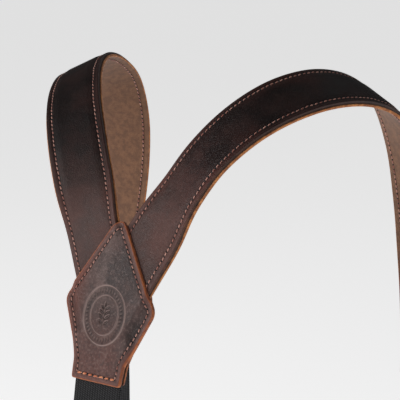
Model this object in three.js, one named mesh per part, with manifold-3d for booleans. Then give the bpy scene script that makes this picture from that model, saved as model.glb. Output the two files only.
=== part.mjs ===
// Leather Y-back suspenders in their worn shape, in millimetres.
// +Z is up, the wearer faces +Y and the wearer's right is +X. The origin lies midway between
// the two straps where they cross the tops of the shoulders.

import * as THREE from 'three';
import { mergeVertices } from 'three/addons/utils/BufferGeometryUtils.js';
import Module from 'manifold-3d';

const wasm = await Module();
wasm.setup();

// ---------------------------------------------------------------- driving dimensions

const clearance = 0.3; // between pieces that touch

const leather = {
  width: 38,
  faceThickness: 2,
  liningThickness: 1.7,
  ringStep: 9, // spacing of the cross-sections along a strap
  tipRadius: 11, // rounded corners of the front ends
  webbingOverlap: 28, // how far the webbing is sewn in under the front end
};

const yoke = {
  centre: [0, -96, -126],
  slope: THREE.MathUtils.degToRad(16.3), // lean of the patch towards the shoulders
  patchThickness: 2,
  backingThickness: 1.7,
  strapAngle: THREE.MathUtils.degToRad(25.8), // of each strap from the centre line
  strapsMeetAt: 35, // height on the patch where the inner edges meet
  strapsEndAt: -27, // height on the patch where the straps are cut off
  apex: { x: 0, height: 52, radius: 8 }, // the outline's corners, each before it is rounded
  shoulder: { x: 34.5, height: -6, radius: 9 },
  flare: { x: 19.2, height: -41, radius: 14 },
  hem: { x: 18.5, height: -54, radius: 2 },
};

const webbing = {
  width: 35,
  thickness: 1.6,
  hemThickness: 3.8, // folded top of the back webbing, between patch and backing
  hemLength: 20,
};

const slider = {
  thickness: 2.4,
  cornerRadius: 3.5,
  slotWidth: webbing.width + 2 * 0.7, // the webbing and the room beside it
  slotHeight: 4 * webbing.thickness, // takes the webbing twice, with room to thread it
  slotRadius: 1.6,
  barHeight: 3.6, // centre bar
  sideWall: 3.8, // beside the slots
  rimHeight: 3.3, // above the upper slot and below the lower one
};

const bail = {
  wireRadius: 1.25,
  room: 1.75, // between the wire and each edge of the webbing
  height: 14, // between the centres of the upper and lower runs
  cornerRadius: 3,
};
const bailHalfWidth = webbing.width / 2 + bail.room + bail.wireRadius; // to the centre of the wire

const clip = {
  width: 2 * (bailHalfWidth - bail.wireRadius - 0.25), // fits between the bail's sides
  height: 46, // from the bail's lower run to the foot
  sheet: 1.2,
  barrelWidth: 2 * (bailHalfWidth - bail.cornerRadius - 1.5), // fits between the bail's corners
  barrelRadius: 3,
  plateBack: -3.4,
  lipDepth: 2.8,
  earRadius: 2.8,
  earThickness: 1.2,
  pinRadius: 1.2,
  pinDepth: 2.2, // in front of the bail's lower run
  pinDrop: 12.5, // below the bail's lower run
  pinHead: 0.4, // the riveted ends stand this far out of the ears
  boreGap: 0.15,
  leverDepth: 4.9, // front face of the lever
  leverRadius: 2.7,
  padHeight: 13.2,
  padMargin: 3, // between the pads' sides and the plate's
  padRidges: 5,
  ridgeHeight: 0.7,
  padGap: 0.4, // between the two pads with the clip closed
};

// Route of the right strap past the yoke: a point on its middle line and the direction its
// face looks in. The left strap is its mirror image.
const shoulderRoute = [
  { at: [36.7, -76.6, -61.6], looks: [-0.28, -0.86, 0.43] },
  { at: [50.5, -65.7, -37.4], looks: [-0.19, -0.78, 0.6] },
  { at: [66.1, -49, -18], looks: [0.02, -0.65, 0.76] },
  { at: [81.5, -26.9, -5.2], looks: [0.25, -0.46, 0.85] },
  { at: [95, -0.7, -0.3], looks: [0.4, -0.18, 0.9] },
  { at: [104.6, 27.2, -4.7], looks: [0.46, 0.16, 0.87] },
  { at: [110.5, 52, -18.5], looks: [0.46, 0.44, 0.77] },
  { at: [115.5, 69, -46], looks: [0.4, 0.75, 0.53] },
  { at: [120.5, 77, -80], looks: [0.28, 0.92, 0.27] },
  { at: [126, 79, -118], looks: [0.15, 0.98, 0.08] },
  { at: [131.5, 77.3, -156], looks: [0.04, 1, 0] },
  { at: [134, 76, -192], looks: [0, 1, 0] },
];

// The three ends: where each one hangs, the heights of the leather's tip and of the slider,
// and the length of the webbing loop from the slider to the bail.
const [frontSpread, frontDepth] = shoulderRoute[shoulderRoute.length - 1].at;
const frontEnd = { y: frontDepth, leatherEnd: -230, sliderHeight: -300, loop: 95, facing: 1 };
const backEnd = { y: -118.5, sliderHeight: -285, loop: 80, facing: -1 };
const ends = [
  { name: 'front_left', x: -frontSpread, ...frontEnd },
  { name: 'front_right', x: frontSpread, ...frontEnd },
  { name: 'back', x: 0, ...backEnd },
];

// The back webbing swings in from the hem to the slider: heights over the slider and how far
// inward of it the webbing's middle still is.
const backSwing = [
  { height: 90, inward: 4.1 },
  { height: 75, inward: 1.6 },
  { height: 63, inward: 0.3 },
  { height: 51, inward: 0 },
];

// ---------------------------------------------------------------- colours

const finishes = {
  face: { color: 0x43302e, roughness: 0.5, metalness: 0 },
  lining: { color: 0x8a5a3c, roughness: 0.7, metalness: 0 },
  patch: { color: 0x5e4744, roughness: 0.45, metalness: 0 },
  webbing: { color: 0x252527, roughness: 0.9, metalness: 0 },
  metal: { color: 0xb9bbbd, roughness: 0.3, metalness: 1 },
  pad: { color: 0x1c1c1e, roughness: 0.6, metalness: 0 },
};

function namedMesh(name, geometry, finish) {
  const mesh = new THREE.Mesh(geometry, new THREE.MeshStandardMaterial(finishes[finish]));
  mesh.name = name;
  return mesh;
}

// ---------------------------------------------------------------- solids and cuts

function bareGeometry(geometry) {
  const bare = geometry.index ? geometry.clone() : mergeVertices(geometry.clone());
  bare.deleteAttribute('normal');
  bare.deleteAttribute('uv');
  return mergeVertices(bare, 1e-4);
}

function toSolid(geometry) {
  const bare = bareGeometry(geometry);
  return new wasm.Manifold(new wasm.Mesh({
    numProp: 3,
    vertProperties: new Float32Array(bare.attributes.position.array),
    triVerts: new Uint32Array(bare.index.array),
  }));
}

function toGeometry(solid) {
  const mesh = solid.getMesh();
  const geometry = new THREE.BufferGeometry();
  geometry.setAttribute('position', new THREE.BufferAttribute(mesh.vertProperties, 3));
  geometry.setIndex(new THREE.BufferAttribute(mesh.triVerts, 1));
  geometry.computeVertexNormals();
  return geometry;
}

// A closed slab over a grid of columns and rings. place(column, ring, layer) gives each
// corner; its faces point out where columns, layers and rings run right-handed. The two
// layers are cut into triangles alike, so a slab stacked on another stays parallel to it.
function slabGeometry(columns, rings, place, leaning = false) {
  const vertices = [];
  const faces = [];
  const index = (column, ring, layer) => (ring * (columns + 1) + column) * 2 + layer;
  for (let ring = 0; ring <= rings; ring += 1) {
    for (let column = 0; column <= columns; column += 1) {
      vertices.push(...place(column, ring, 0).toArray(), ...place(column, ring, 1).toArray());
    }
  }
  const quad = (a, b, c, d) => faces.push(a, b, c, a, c, d);
  for (let ring = 0; ring < rings; ring += 1) {
    for (let column = 0; column < columns; column += 1) {
      for (const layer of [0, 1]) {
        const [a, b] = [index(column, ring, layer), index(column + 1, ring, layer)];
        const [c, d] = [index(column, ring + 1, layer), index(column + 1, ring + 1, layer)];
        const loop = leaning ? [b, a, c, d] : [a, c, d, b];
        if (layer === 0) quad(loop[0], loop[3], loop[2], loop[1]);
        else quad(...loop);
      }
    }
    const [first, next] = [ring, ring + 1];
    quad(index(0, first, 0), index(0, next, 0), index(0, next, 1), index(0, first, 1));
    const edge = columns;
    quad(index(edge, first, 1), index(edge, next, 1), index(edge, next, 0), index(edge, first, 0));
  }
  for (let column = 0; column < columns; column += 1) {
    const [here, next] = [column, column + 1];
    quad(index(here, 0, 0), index(here, 0, 1), index(next, 0, 1), index(next, 0, 0));
    quad(index(here, rings, 1), index(here, rings, 0), index(next, rings, 0), index(next, rings, 1));
  }
  const geometry = new THREE.BufferGeometry();
  geometry.setAttribute('position', new THREE.Float32BufferAttribute(vertices, 3));
  geometry.setIndex(faces);
  return geometry;
}

// A profile drawn in (Y, Z) and extruded along X, centred on x.
function extrudeAcross(shape, width, x = 0) {
  const options = { depth: width, bevelEnabled: false, curveSegments: 8 };
  const geometry = new THREE.ExtrudeGeometry(shape, options);
  geometry.applyMatrix4(new THREE.Matrix4().makeBasis(
    new THREE.Vector3(0, 1, 0),
    new THREE.Vector3(0, 0, 1),
    new THREE.Vector3(1, 0, 0),
  ));
  geometry.translate(x - width / 2, 0, 0);
  return geometry;
}

function rectangle(y0, z0, y1, z1) {
  const corners = [[y0, z0], [y1, z0], [y1, z1], [y0, z1]];
  return new THREE.Shape(corners.map((p) => new THREE.Vector2(...p)));
}

function disc(y, z, radius) {
  return new THREE.Shape().absarc(y, z, radius, 0, 2 * Math.PI, false);
}

function roundedRectangle(width, height, radius, Kind = THREE.Shape) {
  const [x, y, r] = [width / 2, height / 2, radius];
  const outline = new Kind();
  outline.moveTo(x, -y + r);
  outline.absarc(x - r, y - r, r, 0, Math.PI / 2, false);
  outline.absarc(-x + r, y - r, r, Math.PI / 2, Math.PI, false);
  outline.absarc(-x + r, -y + r, r, Math.PI, 1.5 * Math.PI, false);
  outline.absarc(x - r, -y + r, r, 1.5 * Math.PI, 2 * Math.PI, false);
  return outline;
}

// ---------------------------------------------------------------- yoke plane

const yokeUp = new THREE.Vector3(0, Math.sin(yoke.slope), Math.cos(yoke.slope));
const yokeOut = new THREE.Vector3(0, -Math.cos(yoke.slope), Math.sin(yoke.slope));

// The point x across and v up the yoke's plane, lifted out from it by the given amount.
function onYoke(x, v, lift = 0) {
  return new THREE.Vector3(...yoke.centre)
    .add(new THREE.Vector3(x, 0, 0))
    .addScaledVector(yokeUp, v)
    .addScaledVector(yokeOut, lift);
}

// Layers through the straps, measured out from their middle surface.
const strapLayers = {
  face: [0, leather.faceThickness],
  lining: [-clearance - leather.liningThickness, -clearance],
};
const patchLift = strapLayers.face[1] + clearance;
const backingLift = strapLayers.lining[0] - clearance - yoke.backingThickness;

// ---------------------------------------------------------------- straps

// A swept band has its cross-section's width along across, its thickness along out.
class Route {
  constructor(stations) {
    this.line = new THREE.CatmullRomCurve3(stations.map((s) => s.at), false, 'centripetal');
    this.line.arcLengthDivisions = 1000;
    this.looks = stations.map((s) => s.looks);
    this.length = this.line.getLength();
  }

  frameAt(distance) {
    const u = THREE.MathUtils.clamp(distance / this.length, 0, 1);
    const t = this.line.getUtoTmapping(u);
    const along = this.line.getTangent(t);
    const step = t * (this.looks.length - 1);
    const before = Math.min(Math.floor(step), this.looks.length - 2);
    const out = this.looks[before].clone().lerp(this.looks[before + 1], step - before);
    out.addScaledVector(along, -out.dot(along)).normalize();
    return { at: this.line.getPoint(t), along, out, across: out.clone().cross(along) };
  }
}

// A strap is straight while it lies on the yoke; strapMiddle is its middle line there.
const strapDirection = new THREE.Vector2(Math.sin(yoke.strapAngle), Math.cos(yoke.strapAngle));
const strapMiddle = new THREE.Vector2(
  (leather.width / 2) * strapDirection.y,
  yoke.strapsMeetAt - (leather.width / 2) * strapDirection.x,
);
const strapRun = 60; // length of the straight stretch below strapMiddle
const strapFree = 16; // length above it that still lies flat

function strapRoute(side) {
  const straight = [-strapRun, -strapRun / 2, strapFree].map((d) => ({
    at: onYoke(strapMiddle.x + d * strapDirection.x, strapMiddle.y + d * strapDirection.y),
    looks: yokeOut.clone(),
  }));
  const shoulder = shoulderRoute.map((s) => ({
    at: new THREE.Vector3(...s.at),
    looks: new THREE.Vector3(...s.looks),
  }));
  const tip = {
    at: new THREE.Vector3(frontSpread, frontEnd.y, frontEnd.leatherEnd),
    looks: new THREE.Vector3(0, frontEnd.facing, 0),
  };
  const stations = [...straight, ...shoulder, tip];
  for (const s of stations) {
    s.at.x *= side;
    s.looks.x *= side;
  }
  return new Route(stations);
}

// Distance along the route at which the strap starts, at offset u outward from its middle:
// at the centre line of the yoke, or at the straight cut across the bottom.
function strapStart(u) {
  const x = strapMiddle.x + u * strapDirection.y;
  const v = strapMiddle.y - u * strapDirection.x;
  const atCentre = (clearance / 2 - x) / strapDirection.x;
  const atCut = (yoke.strapsEndAt - v) / strapDirection.y;
  return strapRun + Math.max(atCentre, atCut);
}

// The offset at which the centre line and the bottom cut meet.
function cornerOffset() {
  const start = [-leather.width / 2, leather.width / 2];
  let [low, high] = start;
  for (let i = 0; i < 40; i += 1) {
    const u = (low + high) / 2;
    const x = strapMiddle.x + u * strapDirection.y;
    const v = strapMiddle.y - u * strapDirection.x;
    const atCentre = (clearance / 2 - x) / strapDirection.x;
    const atCut = (yoke.strapsEndAt - v) / strapDirection.y;
    if (atCentre > atCut) low = u;
    else high = u;
  }
  return (low + high) / 2;
}

// Half width of a front end at a distance from its tip.
function tipHalfWidth(fromTip) {
  const r = leather.tipRadius;
  const inside = Math.max(0, r - fromTip);
  return leather.width / 2 - r + Math.sqrt(r * r - inside * inside);
}

// Distances of a strap's square cross-sections: even down to the lining's front end, where
// the webbing begins, then closer round the tip of the face.
function ringDistances(length, hasTip) {
  const first = strapRun + 2;
  const last = length - leather.webbingOverlap - clearance;
  const steps = Math.round((last - first) / leather.ringStep);
  const even = Array.from({ length: steps + 1 }, (_, i) => first + ((last - first) * i) / steps);
  const tip = [1, 0.6, 0.3, 0.1, 0].map((k) => length - k * leather.tipRadius);
  return hasTip ? [...even, ...tip] : even;
}

function strapLayer(side, lifts, hasTip) {
  const route = strapRoute(side);
  const outward = -side; // across points to the wearer's left
  const offsets = [-leather.width / 2, cornerOffset(), leather.width / 2].map((u) => u * outward);
  offsets.sort((a, b) => a - b);
  const distances = ringDistances(route.length, hasTip);
  const place = (column, ring, layer) => {
    const offset = offsets[column];
    const distance = ring === 0 ? strapStart(offset * outward) : distances[ring - 1];
    const scale = hasTip ? tipHalfWidth(route.length - distance) / (leather.width / 2) : 1;
    const frame = route.frameAt(distance);
    return frame.at
      .addScaledVector(frame.across, offset * scale)
      .addScaledVector(frame.out, lifts[layer]);
  };
  return slabGeometry(offsets.length - 1, distances.length, place, side < 0);
}

function makeStraps() {
  const group = new THREE.Group();
  for (const [name, side] of [['left', -1], ['right', 1]]) {
    group.add(namedMesh(`strap_${name}_face`, strapLayer(side, strapLayers.face, true), 'face'));
    group.add(namedMesh(`strap_${name}_lining`, strapLayer(side, strapLayers.lining, false), 'lining'));
  }
  return group;
}

// ---------------------------------------------------------------- yoke patch and backing

// A closed outline with each corner rounded to its own radius.
function roundedOutline(corners) {
  const shape = new THREE.Shape();
  corners.forEach(({ at, radius }, i) => {
    const before = corners[(i + corners.length - 1) % corners.length].at;
    const after = corners[(i + 1) % corners.length].at;
    const toBefore = before.clone().sub(at).normalize();
    const toAfter = after.clone().sub(at).normalize();
    const half = Math.acos(THREE.MathUtils.clamp(toBefore.dot(toAfter), -1, 1)) / 2;
    const reach = radius / Math.tan(half);
    const start = at.clone().addScaledVector(toBefore, reach);
    const finish = at.clone().addScaledVector(toAfter, reach);
    if (i === 0) shape.moveTo(start.x, start.y);
    else shape.lineTo(start.x, start.y);
    shape.quadraticCurveTo(at.x, at.y, finish.x, finish.y);
  });
  shape.closePath();
  return shape;
}

function yokeOutline() {
  const corner = (side) => ({ x, height, radius }) => ({ at: new THREE.Vector2(side * x, height), radius });
  const sides = [yoke.shoulder, yoke.flare, yoke.hem];
  const left = sides.map(corner(-1)).reverse();
  return roundedOutline([...left, corner(1)(yoke.apex), ...sides.map(corner(1))]);
}

function yokeLayer(name, thickness, lift, finish) {
  const options = { depth: thickness, bevelEnabled: false, curveSegments: 6 };
  const geometry = new THREE.ExtrudeGeometry(yokeOutline(), options);
  const across = yokeUp.clone().cross(yokeOut);
  geometry.applyMatrix4(new THREE.Matrix4().makeBasis(across, yokeUp, yokeOut));
  const place = onYoke(0, 0, lift);
  geometry.translate(place.x, place.y, place.z);
  return namedMesh(name, geometry, finish);
}

function makeYoke() {
  const group = new THREE.Group();
  group.add(yokeLayer('yoke_patch', yoke.patchThickness, patchLift, 'patch'));
  group.add(yokeLayer('yoke_backing', yoke.backingThickness, backingLift, 'lining'));
  return group;
}

// ---------------------------------------------------------------- webbing

// A band of webbing through a list of (y, z) points, each with its own thickness. Its
// width runs along X, and every ring is mitred so the thickness holds round a bend.
function bandGeometry(points) {
  const last = points.length - 1;
  const at = points.map((p) => new THREE.Vector2(p.y, p.z));
  const heading = (i) => at[i + 1].clone().sub(at[i]).normalize();
  const place = (column, ring, layer) => {
    const before = heading(Math.max(ring, 1) - 1);
    const along = heading(Math.min(ring, last - 1)).add(before).normalize();
    const half = (points[ring].thickness ?? webbing.thickness) / 2 / along.dot(before);
    const offset = layer === 0 ? -half : half;
    const x = (0.5 - column) * webbing.width;
    return new THREE.Vector3(x, at[ring].x - along.y * offset, at[ring].y + along.x * offset);
  };
  return slabGeometry(1, last, place);
}

// The webbing passes over the slider's bar; (y, z) from the slider's centre, going down to it.
const overBar = (() => {
  const barFront = webbing.thickness / 2 + clearance + slider.thickness;
  const crest = barFront + clearance + webbing.thickness / 2;
  const edge = slider.barHeight / 2;
  const easing = 0.9; // half of the bend round the bar's edge
  return {
    barFront,
    points: [
      { y: 0, z: edge + slider.slotHeight + webbing.thickness },
      { y: 0.1, z: edge + slider.slotHeight - easing },
      { y: crest * 0.28, z: edge + slider.slotHeight * 0.58 },
      { y: crest * 0.64, z: edge + slider.slotHeight * 0.4 },
      { y: crest - 0.25, z: edge + easing },
      { y: crest, z: edge - easing },
      { y: crest, z: clearance / 2 },
    ],
  };
})();

const strandGap = 2 * (bail.wireRadius + clearance + webbing.thickness / 2);

// The return strand closes in on the slider's bar: height over the slider, and the share of
// the gap between the strands that is left there.
const strandClosing = [
  { height: -20, share: 1 },
  { height: -14, share: 44 / 47 },
  { height: -8.2, share: 33 / 47 },
  { height: -3.2, share: 10 / 47 },
  { height: -0.6, share: 1.5 / 47 },
  { height: 1.4, share: 0 },
];

// Front strand, turn round the bail, and back strand up to the slider's bar.
function loopPoints(loop) {
  const turnRadius = strandGap / 2;
  const down = overBar.points.map(({ y, z }) => ({ y, z: -z })).reverse();
  const turn = [];
  const steps = 8;
  for (let i = 0; i <= steps; i += 1) {
    const angle = (Math.PI * i) / steps;
    turn.push({ y: turnRadius * (Math.cos(angle) - 1), z: -loop - turnRadius * Math.sin(angle) });
  }
  const up = strandClosing.map(({ height, share }) => ({ y: -strandGap * share, z: height }));
  return [...down, ...turn, ...up];
}

// Top of the webbing, from where it is sewn in down to the slider, in the end's own frame.
function runPoints(end) {
  if (end.facing > 0) {
    const top = end.leatherEnd + leather.webbingOverlap - end.sliderHeight;
    return [{ y: 0, z: top }, ...overBar.points];
  }
  const toEnd = (point) => ({ y: (point.y - end.y) * end.facing, z: point.z - end.sliderHeight });
  const hem = webbing.hemThickness;
  const hemTop = yoke.strapsEndAt - clearance;
  return [
    { ...toEnd(onYoke(0, hemTop)), thickness: hem },
    { ...toEnd(onYoke(0, hemTop - webbing.hemLength)), thickness: hem },
    toEnd(onYoke(0, hemTop - webbing.hemLength - 1)),
    toEnd(onYoke(0, yoke.hem.height)),
    ...backSwing.map(({ height, inward }) => ({ y: -inward, z: height })),
    ...overBar.points,
  ];
}

// ---------------------------------------------------------------- slider and bail

function sliderGeometry() {
  const shape = roundedRectangle(
    slider.slotWidth + 2 * slider.sideWall,
    slider.barHeight + 2 * (slider.slotHeight + slider.rimHeight),
    slider.cornerRadius,
  );
  const slotCentre = (slider.barHeight + slider.slotHeight) / 2;
  for (const sign of [-1, 1]) {
    const slot = roundedRectangle(slider.slotWidth, slider.slotHeight, slider.slotRadius, THREE.Path);
    const edge = slot.getPoints(2).map((p) => new THREE.Vector2(p.x, p.y + sign * slotCentre));
    shape.holes.push(new THREE.Path(edge));
  }
  const geometry = new THREE.ExtrudeGeometry(shape, {
    depth: slider.thickness,
    bevelEnabled: false,
    curveSegments: 4,
  });
  geometry.rotateX(Math.PI / 2);
  geometry.translate(0, overBar.barFront, 0);
  return geometry;
}

// A closed ring of wire from the lower run at the origin to the upper run.
function bailGeometry() {
  const outline = roundedRectangle(2 * bailHalfWidth, bail.height, bail.cornerRadius).getPoints(3);
  const points = outline.map((p) => new THREE.Vector3(p.x, 0, p.y + bail.height / 2));
  if (points[0].distanceTo(points[points.length - 1]) < 1e-6) points.pop();
  return wireRing(points, bail.wireRadius);
}

// Wire of round section through a closed planar (X, Z) polygon, mitred at each point.
function wireRing(points, radius) {
  const sides = 8;
  const count = points.length;
  const vertices = [];
  const faces = [];
  points.forEach((p, i) => {
    const before = p.clone().sub(points[(i + count - 1) % count]).normalize();
    const after = points[(i + 1) % count].clone().sub(p).normalize();
    const along = before.clone().add(after).normalize();
    const across = new THREE.Vector3(0, 1, 0).cross(along).multiplyScalar(1 / along.dot(before));
    for (let k = 0; k < sides; k += 1) {
      const angle = (2 * Math.PI * k) / sides;
      const v = p.clone().addScaledVector(across, radius * Math.cos(angle));
      vertices.push(v.x, v.y + radius * Math.sin(angle), v.z);
      const next = ((i + 1) % count) * sides;
      const [a, b] = [i * sides + k, i * sides + ((k + 1) % sides)];
      const [c, d] = [next + k, next + ((k + 1) % sides)];
      faces.push(a, b, c, b, d, c);
    }
  });
  const geometry = new THREE.BufferGeometry();
  geometry.setAttribute('position', new THREE.Float32BufferAttribute(vertices, 3));
  geometry.setIndex(faces);
  return geometry;
}

// ---------------------------------------------------------------- clip, from the bail's lower run

const plateFront = clip.plateBack + clip.sheet;
const leverBack = clip.leverDepth - clip.sheet;
const jawMiddle = (plateFront + leverBack) / 2;
const padTop = -clip.height + clip.sheet + clearance + clip.padHeight;
const padFoot = padTop - clip.padHeight;

function pinBore() {
  const bore = disc(clip.pinDepth, -clip.pinDrop, clip.pinRadius + clip.boreGap);
  return toSolid(extrudeAcross(bore, clip.width + 2));
}

function clipBaseGeometry() {
  const barrel = extrudeAcross(disc(0, 0, clip.barrelRadius), clip.barrelWidth);
  const foot = -clip.height;
  const plate = extrudeAcross(rectangle(clip.plateBack, foot, plateFront, 0), clip.width);
  const wrap = extrudeAcross(rectangle(clip.plateBack, -1, 0, clip.barrelRadius - 1), clip.barrelWidth);
  const lipShape = rectangle(clip.plateBack, foot, clip.plateBack + clip.lipDepth, foot + clip.sheet);
  const lip = extrudeAcross(lipShape, clip.width);
  let solid = toSolid(barrel).add(toSolid(plate)).add(toSolid(wrap)).add(toSolid(lip));
  for (const sign of [-1, 1]) {
    const x = (sign * (clip.width - clip.earThickness)) / 2;
    const ear = disc(clip.pinDepth, -clip.pinDrop, clip.earRadius);
    const [low, high] = [-clip.pinDrop - clip.earRadius, -clip.pinDrop + clip.earRadius];
    const web = rectangle(clip.plateBack, low, clip.pinDepth, high);
    solid = solid.add(toSolid(extrudeAcross(web, clip.earThickness, x)));
    solid = solid.add(toSolid(extrudeAcross(ear, clip.earThickness, x)));
  }
  const wireBore = extrudeAcross(disc(0, 0, bail.wireRadius + clearance), clip.width + 2);
  return toGeometry(solid.subtract(toSolid(wireBore)).subtract(pinBore()));
}

function clipLeverGeometry() {
  const width = clip.width - 2 * (clip.earThickness + clearance);
  const foot = -clip.height;
  const barrel = extrudeAcross(disc(clip.pinDepth, -clip.pinDrop, clip.leverRadius), width);
  const plate = extrudeAcross(rectangle(leverBack, foot, clip.leverDepth, -clip.pinDrop), width);
  const webFoot = -clip.pinDrop - clip.leverRadius / 1.5;
  const web = extrudeAcross(rectangle(clip.pinDepth, webFoot, clip.leverDepth, -clip.pinDrop), width);
  const lipShape = rectangle(clip.leverDepth - clip.lipDepth, foot, clip.leverDepth, foot + clip.sheet);
  const lip = extrudeAcross(lipShape, width);
  const solid = toSolid(barrel).add(toSolid(plate)).add(toSolid(web)).add(toSolid(lip));
  return toGeometry(solid.subtract(pinBore()));
}

function clipPinGeometry() {
  return extrudeAcross(disc(clip.pinDepth, -clip.pinDrop, clip.pinRadius), clip.width + 2 * clip.pinHead);
}

// A pad on a flat back at y = seat, its ridges reaching to y = crest.
function padGeometry(seat, crest) {
  const sign = Math.sign(crest - seat);
  const root = crest - sign * clip.ridgeHeight;
  const pitch = clip.padHeight / clip.padRidges;
  const outline = [[seat, padFoot]];
  for (let i = 0; i < clip.padRidges; i += 1) {
    outline.push([root, padFoot + i * pitch], [crest, padFoot + (i + 0.5) * pitch]);
  }
  outline.push([root, padTop], [seat, padTop]);
  const points = outline.map((p) => new THREE.Vector2(...p));
  const profile = new THREE.Shape(sign > 0 ? points : points.reverse());
  return extrudeAcross(profile, clip.width - 2 * clip.padMargin);
}

// ---------------------------------------------------------------- strap ends

function makeEnd(end) {
  const group = new THREE.Group();
  const webbingDepth = end.facing > 0 ? (strapLayers.lining[1] - webbing.thickness / 2) : 0;
  group.position.set(end.x, end.y + webbingDepth * end.facing, end.sliderHeight);
  group.rotation.z = end.facing > 0 ? 0 : Math.PI;

  group.add(namedMesh(`${end.name}_strap_webbing`, bandGeometry(runPoints(end)), 'webbing'));
  group.add(namedMesh(`${end.name}_slider`, sliderGeometry(), 'metal'));
  group.add(namedMesh(`${end.name}_loop_webbing`, bandGeometry(loopPoints(end.loop)), 'webbing'));

  const [baseSeat, baseCrest] = [plateFront + clearance, jawMiddle - clip.padGap / 2];
  const [leverSeat, leverCrest] = [leverBack - clearance, jawMiddle + clip.padGap / 2];
  const hardware = new THREE.Group();
  hardware.position.set(0, -strandGap / 2, -end.loop - bail.height);
  hardware.add(namedMesh(`${end.name}_bail`, bailGeometry(), 'metal'));
  hardware.add(namedMesh(`${end.name}_clip_base`, clipBaseGeometry(), 'metal'));
  hardware.add(namedMesh(`${end.name}_clip_pin`, clipPinGeometry(), 'metal'));
  hardware.add(namedMesh(`${end.name}_clip_lever`, clipLeverGeometry(), 'metal'));
  hardware.add(namedMesh(`${end.name}_base_pad`, padGeometry(baseSeat, baseCrest), 'pad'));
  hardware.add(namedMesh(`${end.name}_lever_pad`, padGeometry(leverSeat, leverCrest), 'pad'));
  group.add(hardware);
  return group;
}

// ---------------------------------------------------------------- the whole object

const suspenders = new THREE.Group();
suspenders.add(makeStraps());
suspenders.add(makeYoke());
for (const end of ends) suspenders.add(makeEnd(end));

export default suspenders;
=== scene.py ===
"""Leather Y-back suspenders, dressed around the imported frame.

The straps, the back patch, the webbing and the metal of the three clip ends are built
in the frame's own metres, each on the body that carries it.
"""

from __future__ import annotations

import logging
import math
from dataclasses import dataclass, field
from enum import Enum
from typing import Callable, Sequence

import bpy
import numpy as np
from mathutils import Matrix, Vector

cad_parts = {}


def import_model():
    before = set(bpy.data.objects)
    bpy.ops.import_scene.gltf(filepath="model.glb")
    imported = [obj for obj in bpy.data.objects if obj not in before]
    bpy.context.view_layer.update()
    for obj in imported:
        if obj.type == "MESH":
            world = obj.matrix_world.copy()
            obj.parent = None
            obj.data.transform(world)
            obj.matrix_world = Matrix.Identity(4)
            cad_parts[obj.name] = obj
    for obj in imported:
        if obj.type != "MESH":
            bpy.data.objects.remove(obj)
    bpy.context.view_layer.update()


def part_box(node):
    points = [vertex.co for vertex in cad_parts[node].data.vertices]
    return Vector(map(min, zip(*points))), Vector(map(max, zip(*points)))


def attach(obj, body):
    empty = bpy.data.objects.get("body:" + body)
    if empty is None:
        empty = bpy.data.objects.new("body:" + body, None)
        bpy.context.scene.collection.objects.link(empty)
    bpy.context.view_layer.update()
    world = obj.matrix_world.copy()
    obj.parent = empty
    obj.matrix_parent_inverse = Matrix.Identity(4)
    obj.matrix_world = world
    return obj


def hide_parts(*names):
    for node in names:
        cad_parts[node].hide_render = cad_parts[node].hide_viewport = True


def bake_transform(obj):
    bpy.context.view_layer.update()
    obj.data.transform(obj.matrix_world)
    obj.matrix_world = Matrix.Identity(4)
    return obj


LOG = logging.getLogger("suspenders")
MM = 0.001

Array = np.ndarray
Spot = tuple[float, float, float]
Piece = bpy.types.Object
Node = bpy.types.Node
Socket = bpy.types.NodeSocket
Material = bpy.types.Material
Lift = Callable[[Array, Array], Array]


class Facing(Enum):
    """Which way the outside of a strap end looks."""

    FRONT = 1
    BACK = -1


class Side(Enum):
    """The wearer's side that a strap goes over."""

    LEFT = -1
    RIGHT = 1


# --------------------------------------------------------------------------- small maths


def smoothstep(low: float, high: float, value: Array) -> Array:
    """Rises smoothly from 0 at low to 1 at high.

    Args:
        low: value where the step starts.
        high: value where the step is complete.
        value: numbers to map.

    Returns:
        The mapped numbers.
    """
    t = np.clip((value - low) / (high - low), 0.0, 1.0)
    return t * t * (3.0 - 2.0 * t)


def bell(distance: Array, width: float) -> Array:
    """A soft bump that is 1 where distance is 0 and falls off over width."""
    return np.exp(-((distance / width) ** 2))


def rolled_fall(inset: Array, roll: float) -> Array:
    """How far a rolled edge of that radius falls below the surface, by the distance from the edge."""
    inside = np.clip(roll - inset, 0, roll)
    return roll - np.sqrt(roll**2 - inside**2)


def ripple(along: Array, across: Array, seed: float) -> Array:
    """A slow irregular wave between -1 and 1.

    Args:
        along: distances in metres.
        across: distances in metres.
        seed: number that makes this wave differ from the others.

    Returns:
        The wave's height at each point.
    """
    a, c = along / (47 * MM), across / (31 * MM)
    wave = np.sin(a * 2.1 + seed) + 0.6 * np.sin(a * 5.3 + c * 1.7 + 2.1 * seed)
    return (wave + 0.5 * np.sin(a * 11.9 - c * 2.9 + 3.7 * seed)) / 2.1


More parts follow.
